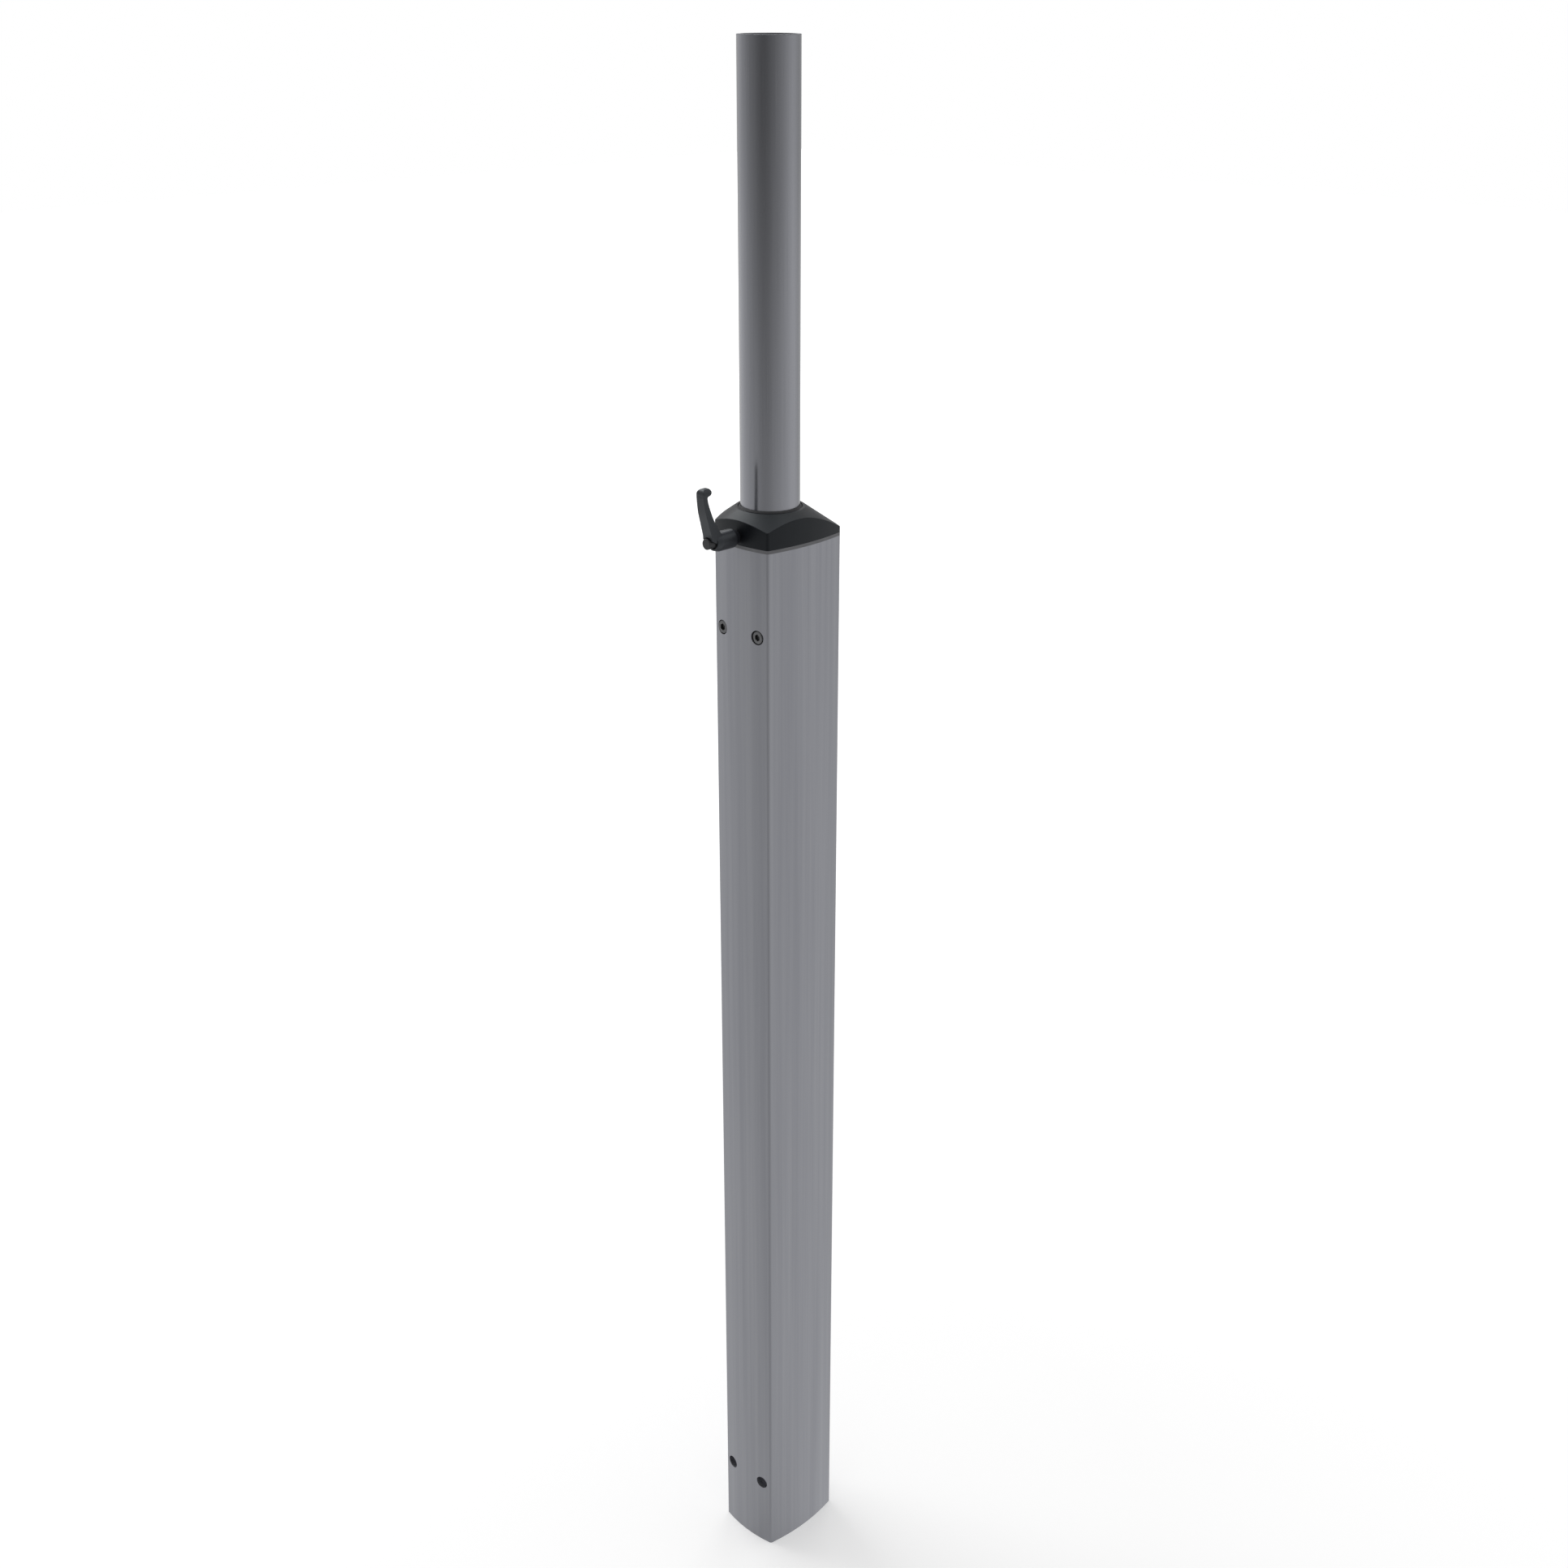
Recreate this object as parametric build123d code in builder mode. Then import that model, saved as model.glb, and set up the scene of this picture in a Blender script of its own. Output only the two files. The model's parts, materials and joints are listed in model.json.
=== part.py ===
from build123d import *

import os
from math import sqrt

os.makedirs("parts", exist_ok=True)

# Lifting pedestal. Millimetres, +Z up, front towards -Y.
# The origin is on the lift tube's axis, at the level that the column stands on.

# Driving dimensions: column profile
column_height = 1044.0
column_width = 63.6  # corner to corner across the front
column_depth = 86.2  # corner to corner along a side
column_set_back = 8.9  # the column's centre lies this far behind the tube's axis
front_bulge = 3.7  # rise of the front and back faces over their corners
side_bulge = 4.6  # rise of the two wide faces over their corners
corner_radius = 2.8
column_wall = 3.0
rib_depth = 8.5  # thickness of the four screw ribs, with the wall
rib_start = 13.5  # the ribs fill the corners outside this distance from the middle

# Driving dimensions: lift tube
tube_diameter = 50.0
tube_wall = 3.0
tube_reach = 367.0  # tube shown above the head's rim
tube_edge = 0.6  # chamfer on the open end

# Driving dimensions: head
seal_thickness = 2.8
rim_rise = 26.6  # the rim's height over the head's lower edge
rim_radius = 29.3
cone_slope = 0.70  # fall of the cone for each millimetre outwards
rim_edge = 0.9
arch_edge = 0.6
spigot_length = 92.0  # part of the head that reaches down into the column
bush_length = 34.0
bush_wall = 2.0
bush_slit = 2.0
throat_length = 21.7  # plain bore between the upper bush and the wiper
wiper_height = 6.0
wiper_wall = 2.2
wiper_lip_width = 0.5
wiper_lead = 0.6  # bevel under the wiper
wiper_lip = 1.1  # the lip stands this far over the rim
wiper_sink = 0.8  # the wiper's outer edge lies this far under the rim
buffer_thickness = 3.0
buffer_width = 3.3
buffer_gap = 1.0  # between the buffer and the tube
pocket_width = 24.0  # hollow in the back of the spigot
pocket_depth = 14.0
pocket_rear_wall = 5.0

# Driving dimensions: M6 hexagon socket screws and their places
screw_spacing = 42.0
screw_inset = 73.5  # from either end of the column
screw_thread = 6.0
screw_length = 8.0
screw_head = 10.0
screw_head_height = 6.0
screw_key = 5.0
screw_key_depth = 3.0
screw_edge = 0.6
screw_clearance_hole = 6.6
screw_core = 5.0  # drilled for the same thread, in the holes that stay free
counterbore = 12.6
counterbore_depth = 6.2
thread_depth = 5.9

# Driving dimensions: foot block
foot_height = 92.0
foot_pocket_width = 36.0
foot_pocket_front = 24.0  # the pocket's front wall lies this far in front of the column's centre
foot_pocket_back = 15.0
foot_pocket_corner = 6.0
foot_floor = 14.0
base_bolt_spacing_x = 40.0
base_bolt_spacing_y = 60.0
base_bolt_core = 6.8  # M8, drilled for the thread
base_bolt_depth = 20.0

# Driving dimensions: guide shoe
shoe_height = 44.0
shoe_floor = 8.0  # the tube's end stands on this floor
shoe_bore = 36.0
tube_pin_diameter = 6.0
pin_edge = 0.5
tube_pin_rise = 15.0  # over the tube's lower end

# Driving dimensions: gas spring behind the tube
spring_set_back = 38.5
spring_diameter = 18.0
spring_wall = 1.2
rod_diameter = 8.0
gland_length = 14.0
piston_length = 10.0
end_wall = 3.0
cylinder_crimp = 1.0
cylinder_edge = 1.5
piston_groove_depth = 1.0
piston_groove_half = 1.2
eye_diameter = 16.0
eye_thickness = 8.0
eye_shank = 18.0  # from the eye's centre to the rod's or the cylinder's end
eye_overlap = 1.0  # the shank starts this far inside the eye, beyond the bore
shank_step = 1.2  # the shank's collar stands this far over the rod
ear_thickness = 5.0
ear_radius = 8.0
eye_relief = 1.0  # room round the foot eye
pin_diameter = 8.0
pin_head_diameter = 11.0
pin_head_height = 1.6
clip_diameter = 11.0
clip_thickness = 1.0
pin_tail = 2.4
pin_groove = 1.0  # depth of the groove for the clip
clip_mouth = 5.0
foot_pin_rise = 6.0  # the foot pin's axis over the foot block's top
ear_drop = 9.0  # the top pin lies this far under the guide shoe
end_reserve = 8.0  # gap left between the cylinder and the foot eye with the tube down
piston_reserve = 4.0

# Driving dimensions: clamp lever, distances measured outwards from the tube's axis
clamp_rise = 7.2  # the lever's axis over the head's lower edge
pad_diameter = 12.0
pad_length = 6.0
pad_edge = 0.5
pad_travel = 0.25  # a quarter turn of the stud's thread of 1 mm pitch
stud_diameter = 6.0
stud_edge = 1.0
collar_start = 39.3
collar_diameter = 8.6
hub_start = 40.5
hub_end = 65.9
hub_diameter = 16.2
hub_nose_length = 2.1
hub_nose_step = 1.9
hub_bevel_length = 4.5  # bevel towards the button
hub_bevel_step = 1.9
clutch_start = 46.5
clutch_length = 3.5
clutch_root = 4.2
clutch_tip = 5.0
clutch_teeth = 16
clutch_half_root = 0.55
clutch_half_tip = 0.25
hub_web = 2.5
hub_web_gap = 0.5  # between the clutch and the web
button_start = 60.0
button_end = 73.2
button_diameter = 10.2
button_edge = 0.5
button_recess_gap = 0.45
spring_wire = 0.7
lever_spring_radius = 4.1
lever_spring_pitch = 2.0
lever_screw_diameter = 4.0
lever_screw_head = 7.0
lever_screw_head_height = 2.6
lever_screw_reach = 3.0  # thread inside the insert

# Driving dimensions: outline of the handle, from the lever's axis upwards
handle_top = 46.9
handle_tip_width = 8.0
handle_foot_width = 11.0
nose_radius = 3.1
nose_lean = 7.0  # the nose's top over the hub's end
crown_lean = 11.4
crown_drop = 0.9
# Points of the arm's two edges: distance outwards from the hub's end, share of the handle's height
arm_outer_foot = ((5.3, 0.064), (5.4, 0.117), (6.5, 0.213), (9.2, 0.426))
arm_outer_tip = ((10.9, 0.567), (12.0, 0.71), (12.8, 0.842), (13.1, 0.908))
arm_inner_tip = ((9.15, 0.844), (8.6, 0.753), (7.1, 0.65), (5.5, 0.559))
arm_inner_foot = ((3.5, 0.458), (-0.3, 0.318), (-3.2, 0.217), (-5.6, 0.149))

# Clearances
fit_gap = 0.02  # between pieces that are pressed or screwed together
slide_gap = 0.06  # round the sliding tube and rod, and the turning stud
spigot_gap = 0.15
shoe_gap = 0.3
loose_gap = 0.3

# Worked out from the driving dimensions
half_width = column_width / 2
half_depth = column_depth / 2
tube_radius = tube_diameter / 2
head_base = column_height + seal_thickness
head_bottom = column_height - spigot_length
rim_height = head_base + rim_rise
clamp_height = head_base + clamp_rise
upper_screws = column_height - screw_inset
lower_screws = screw_inset
bush_radius = tube_radius + slide_gap + bush_wall
wiper_radius = tube_radius + wiper_wall
throat_radius = tube_radius + loose_gap
wiper_seat = rim_height - wiper_height
upper_bush_top = wiper_seat - throat_length
tube_top = rim_height + tube_reach
shoe_top = head_bottom - buffer_thickness - loose_gap
shoe_bottom = shoe_top - shoe_height
tube_bottom = shoe_bottom + shoe_floor
top_pin_height = shoe_bottom - ear_drop
spring_radius = spring_diameter / 2
spring_bore = spring_radius - spring_wall
rod_radius = rod_diameter / 2
foot_pin_height = foot_height + foot_pin_rise
rod_start = foot_pin_height + eye_shank
cylinder_top = top_pin_height - eye_shank
# What the gas spring's length leaves for its stroke, once both ends have their reserve
dead_length = end_reserve + gland_length + piston_reserve + piston_length + end_wall + loose_gap
lift_travel = (cylinder_top - rod_start - dead_length) / 2
cylinder_bottom = rod_start + end_reserve + lift_travel
piston_bottom = cylinder_bottom + gland_length + piston_reserve
piston_top = piston_bottom + piston_length


def rise(across, half_span, bulge):
    """How far a convex face stands out over its corners, at a distance across from its middle."""
    radius = (half_span**2 + bulge**2) / (2 * bulge)
    return sqrt(radius**2 - across**2) - (radius - bulge)


# Distances from the column's centre, the same to the front and to the back
outermost = half_depth + front_bulge
screw_face = half_depth + rise(screw_spacing / 2, half_width, front_bulge)
screw_seat = screw_face - counterbore_depth
rib_face = screw_face - rib_depth
front_wall = column_set_back - outermost


def outline(inset=0.0):
    """The column's four-arc outline, moved inwards by an inset."""
    front = column_set_back - half_depth
    back = column_set_back + half_depth
    side = half_width + side_bulge
    with BuildSketch(mode=Mode.PRIVATE) as face:
        with BuildLine():
            ThreePointArc((-half_width, front), (0, front - front_bulge), (half_width, front))
            ThreePointArc((half_width, front), (side, column_set_back), (half_width, back))
            ThreePointArc((half_width, back), (0, back + front_bulge), (-half_width, back))
            ThreePointArc((-half_width, back), (-side, column_set_back), (-half_width, front))
        make_face()
        if inset > 0:
            offset(amount=-inset, kind=Kind.INTERSECTION)
        fillet(face.vertices(), radius=corner_radius)
    return face.sketch


def cavity(clearance=0.0):
    """The room inside the profile, between its four screw ribs, made smaller by a clearance."""
    far = column_width + column_depth
    start = rib_start - clearance
    face_distance = rib_face - clearance
    with BuildSketch(mode=Mode.PRIVATE) as face:
        add(outline(column_wall + clearance))
        for side in (-1, 1):
            for end in (-1, 1):
                corner = (side * (start + far / 2), column_set_back + end * (face_distance + far / 2))
                with Locations(corner):
                    Rectangle(far, far, mode=Mode.SUBTRACT)
    return face.sketch


def screw_plane(distance, height, direction):
    """A plane parallel to the front (-1) or the back (+1), at a distance from the column's centre."""
    middle = (0, column_set_back + direction * distance, height)
    return Plane(middle, x_dir=(-direction, 0, 0), z_dir=(0, direction, 0))


def socket_screw():
    """A hexagon socket screw along +Z, with the underside of its head at the origin."""
    with BuildPart(mode=Mode.PRIVATE) as screw:
        Cylinder(
            screw_thread / 2 - fit_gap,
            screw_length,
            align=(Align.CENTER, Align.CENTER, Align.MAX),
        )
        chamfer(screw.edges().group_by(Axis.Z)[0], length=screw_edge)
        Cylinder(
            screw_head / 2,
            screw_head_height,
            align=(Align.CENTER, Align.CENTER, Align.MIN),
        )
        chamfer(screw.edges().group_by(Axis.Z)[-1], length=screw_edge)
        with BuildSketch(Plane.XY.offset(screw_head_height)):
            RegularPolygon(screw_key / 2, 6, major_radius=False)
        extrude(amount=-screw_key_depth, mode=Mode.SUBTRACT)
    return screw.part


def pin_with_groove(length):
    """A headed pin along +X, its head's underside at the origin, grooved for a clip at the far end."""
    groove_start = length - pin_tail
    with BuildPart(mode=Mode.PRIVATE) as pin:
        with BuildSketch(Plane.XZ):
            with BuildLine():
                Polyline(
                    (-pin_head_height, 0),
                    (-pin_head_height, pin_head_diameter / 2),
                    (0, pin_head_diameter / 2),
                    (0, pin_diameter / 2 - slide_gap),
                    (groove_start, pin_diameter / 2 - slide_gap),
                    (groove_start, pin_diameter / 2 - pin_groove),
                    (groove_start + clip_thickness, pin_diameter / 2 - pin_groove),
                    (groove_start + clip_thickness, pin_diameter / 2 - slide_gap),
                    (length - pin_edge, pin_diameter / 2 - slide_gap),
                    (length, pin_diameter / 2 - slide_gap - pin_edge),
                    (length, 0),
                    close=True,
                )
            make_face()
        revolve(axis=Axis.X)
    return pin.part


def retaining_clip():
    """An open ring for the pin's groove, lying in the YZ plane from the origin towards +X."""
    with BuildPart(mode=Mode.PRIVATE) as clip:
        with BuildSketch(Plane.YZ):
            Circle(clip_diameter / 2)
            Circle(pin_diameter / 2 - pin_groove + fit_gap, mode=Mode.SUBTRACT)
            with Locations((0, -clip_diameter / 2)):
                Rectangle(clip_mouth, clip_diameter, mode=Mode.SUBTRACT)
        extrude(amount=clip_thickness - fit_gap)
    return clip.part


def eye_profile(centre_height, shank_end, towards):
    """Half-section points of an eye's shank: a neck between the ears, then a collar to shank_end."""
    start = centre_height + towards * (pin_diameter / 2 + eye_overlap)
    neck_end = centre_height + towards * (ear_radius + loose_gap)
    neck = eye_thickness / 2 - loose_gap
    collar = rod_radius + shank_step
    inside = [(0, start), (neck, start), (neck, neck_end)]
    outside = [(collar, neck_end), (collar, shank_end), (0, shank_end)]
    return inside + outside


def spring_eye(centre_height, shank_end, towards):
    """A gas spring's end fitting: a flat eye with a bored hole and a round shank."""
    with BuildPart(mode=Mode.PRIVATE) as eye:
        with BuildSketch(spring_section):
            with BuildLine():
                Polyline(*eye_profile(centre_height, shank_end, towards), close=True)
            make_face()
        revolve(axis=spring_axis)
        with BuildSketch(Plane.YZ.offset(-eye_thickness / 2)):
            with Locations((spring_set_back, centre_height)):
                Circle(eye_diameter / 2)
        extrude(amount=eye_thickness)
        with BuildSketch(Plane.YZ.offset(-eye_thickness / 2)):
            with Locations((spring_set_back, centre_height)):
                Circle(pin_diameter / 2)
        extrude(amount=eye_thickness, mode=Mode.SUBTRACT)
    return eye.part


column_outline = outline()
column_cavity = cavity()
spigot_outline = cavity(spigot_gap)
shoe_outline = cavity(shoe_gap)
tube_axis = Axis.Z
spring_axis = Axis((0, spring_set_back, 0), (0, 0, 1))
spring_section = Plane((0, spring_set_back, 0), x_dir=(1, 0, 0), z_dir=(0, -1, 0))
lever_axis = Axis((0, 0, clamp_height), (0, -1, 0))
# In this plane, x runs outwards from the tube's axis and y upwards from the lever's axis
lever_section = Plane((0, 0, clamp_height), x_dir=(0, -1, 0), z_dir=(-1, 0, 0))
# In this plane, x runs across the lever, seen from the front
lever_face = Plane((0, 0, clamp_height), x_dir=(1, 0, 0), z_dir=(0, -1, 0))

# Column profile: an extruded box of four convex walls, thick at the corners for the screws.
# Counterbored holes go through the front and the back near both ends.
with BuildPart() as column_profile:
    with BuildSketch():
        add(column_outline)
        add(column_cavity, mode=Mode.SUBTRACT)
    extrude(amount=column_height)
    for screw_height in (lower_screws, upper_screws):
        for direction in (-1, 1):
            with Locations(screw_plane(outermost, screw_height, direction)):
                with GridLocations(screw_spacing, screw_spacing, 2, 1):
                    CounterBoreHole(
                        radius=screw_clearance_hole / 2,
                        counter_bore_radius=counterbore / 2,
                        counter_bore_depth=outermost - screw_seat,
                        depth=outermost - rib_face + column_wall,
                    )
column_profile.part.label = "column_profile"
export_step(column_profile.part, "parts/column_profile.step")

# Foot block: a casting in the column's lower end, flush with it. Bolts come in from below,
# screws from the front and the back, and two ears behind its pocket hold the gas spring.
with BuildPart() as foot_block:
    with BuildSketch():
        add(spigot_outline)
    extrude(amount=foot_height)
    with BuildSketch(Plane.XY.offset(foot_floor)):
        with Locations((0, column_set_back + (foot_pocket_back - foot_pocket_front) / 2)):
            RectangleRounded(foot_pocket_width, foot_pocket_front + foot_pocket_back, foot_pocket_corner)
    extrude(amount=foot_height, mode=Mode.SUBTRACT)
    for side in (-1, 1):
        inner_face = side * (eye_thickness / 2 + loose_gap)
        with BuildSketch(Plane.YZ.offset(inner_face)):
            with Locations((spring_set_back, foot_pin_height)):
                Circle(ear_radius)
            with Locations((spring_set_back, foot_height)):
                Rectangle(2 * ear_radius, foot_pin_height - foot_height, align=(Align.CENTER, Align.MIN))
            with Locations((spring_set_back, foot_height)):
                Rectangle(2 * ear_radius, ear_radius, align=(Align.CENTER, Align.MAX))
        extrude(amount=side * ear_thickness)
    with BuildSketch(Plane.YZ):
        with Locations((spring_set_back, foot_pin_height)):
            Circle(ear_radius + eye_relief)
    extrude(amount=eye_thickness / 2 + loose_gap, both=True, mode=Mode.SUBTRACT)
    with BuildSketch(Plane.YZ):
        with Locations((spring_set_back, foot_pin_height)):
            Circle(pin_diameter / 2)
    extrude(amount=column_width / 2, both=True, mode=Mode.SUBTRACT)
    for direction, hole_diameter in ((-1, screw_core), (1, screw_thread)):
        with Locations(screw_plane(rib_face, lower_screws, direction)):
            with GridLocations(screw_spacing, screw_spacing, 2, 1):
                Hole(radius=hole_diameter / 2, depth=thread_depth)
    with Locations(Plane((0, column_set_back, 0), x_dir=(1, 0, 0), z_dir=(0, 0, -1))):
        with GridLocations(base_bolt_spacing_x, base_bolt_spacing_y, 2, 2):
            Hole(radius=base_bolt_core / 2, depth=base_bolt_depth)
foot_block.part.label = "foot_block"
export_step(foot_block.part, "parts/foot_block.step")

# Foot screws: two at the back hold the foot block. The two front holes stay free for the user.
with BuildPart() as foot_screws:
    with Locations(screw_plane(screw_seat, lower_screws, 1)):
        with GridLocations(screw_spacing, screw_spacing, 2, 1):
            add(socket_screw())
foot_screws.part.label = "foot_screws"
export_step(foot_screws.part, "parts/foot_screws.step")

# Head seal: a thin plate with the profile's own section, between the column and the head.
with BuildPart() as head_seal:
    with BuildSketch(Plane.XY.offset(column_height)):
        add(column_outline)
        add(column_cavity, mode=Mode.SUBTRACT)
    extrude(amount=seal_thickness)
head_seal.part.label = "head_seal"
export_step(head_seal.part, "parts/head_seal.step")

# Clamp head: the column's outline under a cone round the tube, so that each face ends in an arch,
# and a spigot that carries the bushes, the wiper, the clamp pad and the stud's thread.
cone_foot = 1.5 * (half_width + half_depth)
bush_seat = bush_radius + fit_gap
pad_floor = tube_radius + pad_length + pad_travel + slide_gap
with BuildPart() as clamp_head:
    with BuildSketch(Plane.XY.offset(head_base)):
        add(column_outline)
    extrude(amount=rim_rise)
    with BuildSketch(Plane.XZ):
        with BuildLine():
            Polyline(
                (0, rim_height),
                (rim_radius, rim_height),
                (cone_foot, rim_height - cone_slope * (cone_foot - rim_radius)),
                (cone_foot, 0),
                (0, 0),
                close=True,
            )
        make_face()
    revolve(axis=tube_axis, mode=Mode.INTERSECT)
    curved = clamp_head.edges().filter_by(GeomType.LINE, reverse=True)
    arches = curved.filter_by(GeomType.CIRCLE, reverse=True)
    fillet(arches, radius=arch_edge)
    with BuildSketch(Plane.XY.offset(head_bottom)):
        add(spigot_outline)
    extrude(amount=spigot_length + seal_thickness)
    with BuildSketch(Plane.XZ):
        with BuildLine():
            Polyline(
                (0, head_bottom),
                (bush_seat, head_bottom),
                (bush_seat, upper_bush_top),
                (throat_radius, upper_bush_top),
                (throat_radius, wiper_seat),
                (wiper_radius, wiper_seat),
                (wiper_radius, rim_height),
                (0, rim_height),
                close=True,
            )
        make_face()
    revolve(axis=tube_axis, mode=Mode.SUBTRACT)
    rim_edges = clamp_head.edges().filter_by(GeomType.CIRCLE).group_by(Axis.Z)[-1]
    fillet(rim_edges.sort_by(SortBy.RADIUS)[-1], radius=rim_edge)
    with BuildSketch(Plane.XY.offset(head_bottom)):
        with Locations((0, column_set_back + outermost - column_wall - pocket_rear_wall)):
            Rectangle(pocket_width, pocket_depth, align=(Align.CENTER, Align.MAX))
    extrude(amount=spigot_length - pocket_rear_wall, mode=Mode.SUBTRACT)
    for direction in (-1, 1):
        with Locations(screw_plane(rib_face, upper_screws, direction)):
            with GridLocations(screw_spacing, screw_spacing, 2, 1):
                Hole(radius=screw_thread / 2, depth=thread_depth)
    with BuildSketch(lever_section):
        with BuildLine():
            Polyline(
                (0, 0),
                (0, pad_diameter / 2 + slide_gap),
                (pad_floor, pad_diameter / 2 + slide_gap),
                (pad_floor, stud_diameter / 2),
                (-2 * front_wall, stud_diameter / 2),
                (-2 * front_wall, 0),
                close=True,
            )
        make_face()
    revolve(axis=lever_axis, mode=Mode.SUBTRACT)
clamp_head.part.label = "clamp_head"
export_step(clamp_head.part, "parts/clamp_head.step")

# Head screws: two in the front and two in the back hold the spigot.
with BuildPart() as head_screws:
    for direction in (-1, 1):
        with Locations(screw_plane(screw_seat, upper_screws, direction)):
            with GridLocations(screw_spacing, screw_spacing, 2, 1):
                add(socket_screw())
head_screws.part.label = "head_screws"
export_step(head_screws.part, "parts/head_screws.step")

# Wiper ring: rubber, with a lip that rises to the tube.
wiper_inner = tube_radius + slide_gap
with BuildPart() as wiper_ring:
    with BuildSketch(Plane.XZ):
        with BuildLine():
            Polyline(
                (wiper_inner + wiper_lead, wiper_seat + fit_gap),
                (wiper_radius - fit_gap, wiper_seat + fit_gap),
                (wiper_radius - fit_gap, rim_height - wiper_sink),
                (wiper_inner + wiper_lip_width, rim_height + wiper_lip),
                (wiper_inner, rim_height + wiper_lip),
                (wiper_inner, rim_height - 2 * wiper_sink),
                close=True,
            )
        make_face()
    revolve(axis=tube_axis)
wiper_ring.part.label = "wiper_ring"
export_step(wiper_ring.part, "parts/wiper_ring.step")


def slit_bush(bottom):
    """A slit plastic bush round the tube, with its lower end at a height."""
    with BuildPart(mode=Mode.PRIVATE) as bush:
        with BuildSketch(Plane.XY.offset(bottom)):
            Circle(bush_radius)
            Circle(tube_radius + slide_gap, mode=Mode.SUBTRACT)
            with Locations((0, tube_radius)):
                Rectangle(bush_slit, 2 * bush_wall + 2, mode=Mode.SUBTRACT)
        extrude(amount=bush_length)
    return bush.part


# Bushes: one at the top of the spigot, one flush with its lower end.
with BuildPart() as upper_bush:
    add(slit_bush(upper_bush_top - fit_gap - bush_length))
upper_bush.part.label = "upper_bush"
export_step(upper_bush.part, "parts/upper_bush.step")

with BuildPart() as lower_bush:
    add(slit_bush(head_bottom))
lower_bush.part.label = "lower_bush"
export_step(lower_bush.part, "parts/lower_bush.step")

# Stop buffer: rubber ring under the head, which the guide shoe meets at the top of its travel.
with BuildPart() as stop_buffer:
    with BuildSketch(Plane.XY.offset(head_bottom)):
        Circle(tube_radius + buffer_gap + buffer_width)
        Circle(tube_radius + buffer_gap, mode=Mode.SUBTRACT)
    extrude(amount=-buffer_thickness)
stop_buffer.part.label = "stop_buffer"
export_step(stop_buffer.part, "parts/stop_buffer.step")

# Lift tube: round tube, chamfered at its open upper end and bored across for its pin.
tube_pin_height = tube_bottom + tube_pin_rise
with BuildPart() as lift_tube:
    with BuildSketch(Plane.XY.offset(tube_bottom)):
        Circle(tube_radius)
        Circle(tube_radius - tube_wall, mode=Mode.SUBTRACT)
    extrude(amount=tube_top - tube_bottom)
    chamfer(lift_tube.edges().group_by(Axis.Z)[-1], length=tube_edge)
    with BuildSketch(Plane.YZ):
        with Locations((0, tube_pin_height)):
            Circle(tube_pin_diameter / 2)
    extrude(amount=tube_diameter, both=True, mode=Mode.SUBTRACT)
lift_tube.part.label = "lift_tube"
export_step(lift_tube.part, "parts/lift_tube.step")

# Guide shoe: fills the column's section, so that the tube can't turn. The tube stands in its socket,
# and two ears under its back take the gas spring's upper eye.
with BuildPart() as guide_shoe:
    with BuildSketch(Plane.XY.offset(shoe_bottom)):
        add(shoe_outline)
        with Locations((0, 0)):
            Circle(shoe_bore / 2, mode=Mode.SUBTRACT)
    extrude(amount=shoe_height)
    with BuildSketch(Plane.XY.offset(tube_bottom)):
        Circle(tube_radius + fit_gap)
    extrude(amount=shoe_height, mode=Mode.SUBTRACT)
    for side in (-1, 1):
        inner_face = side * (eye_thickness / 2 + loose_gap)
        with BuildSketch(Plane.YZ.offset(inner_face)):
            with Locations((spring_set_back, top_pin_height)):
                Circle(ear_radius)
            with Locations((spring_set_back, shoe_bottom)):
                Rectangle(2 * ear_radius, ear_drop, align=(Align.CENTER, Align.MAX))
        extrude(amount=side * ear_thickness)
    with BuildSketch(Plane.YZ):
        with Locations((spring_set_back, top_pin_height)):
            Circle(pin_diameter / 2)
    extrude(amount=half_width, both=True, mode=Mode.SUBTRACT)
    with BuildSketch(Plane.YZ):
        with Locations((0, tube_pin_height)):
            Circle(tube_pin_diameter / 2)
    extrude(amount=column_width, both=True, mode=Mode.SUBTRACT)
guide_shoe.part.label = "guide_shoe"
export_step(guide_shoe.part, "parts/guide_shoe.step")

# Tube pin: goes across the shoe and the tube.
pin_half_length = half_width + rise(column_set_back, half_depth, side_bulge) - column_wall - 3 * shoe_gap
with BuildPart() as tube_pin:
    with BuildSketch(Plane.YZ):
        with Locations((0, tube_pin_height)):
            Circle(tube_pin_diameter / 2 - fit_gap)
    extrude(amount=pin_half_length, both=True)
    chamfer(tube_pin.edges().filter_by(GeomType.CIRCLE), length=pin_edge)
tube_pin.part.label = "tube_pin"
export_step(tube_pin.part, "parts/tube_pin.step")

# Gas spring: a closed cylinder that hangs from the shoe, and a rod that stands on the foot block.
with BuildPart() as spring_cylinder:
    with BuildSketch(spring_section):
        with BuildLine():
            Polyline(
                (rod_radius + cylinder_crimp, cylinder_bottom),
                (spring_radius - cylinder_crimp, cylinder_bottom),
                (spring_radius, cylinder_bottom + cylinder_crimp),
                (spring_radius, cylinder_top - cylinder_edge),
                (spring_radius - cylinder_edge, cylinder_top),
                (0, cylinder_top),
                (0, cylinder_top - end_wall),
                (spring_bore, cylinder_top - end_wall),
                (spring_bore, cylinder_bottom + spring_wall),
                (rod_radius + cylinder_crimp, cylinder_bottom + spring_wall),
                close=True,
            )
        make_face()
    revolve(axis=spring_axis)
spring_cylinder.part.label = "spring_cylinder"
export_step(spring_cylinder.part, "parts/spring_cylinder.step")

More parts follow.
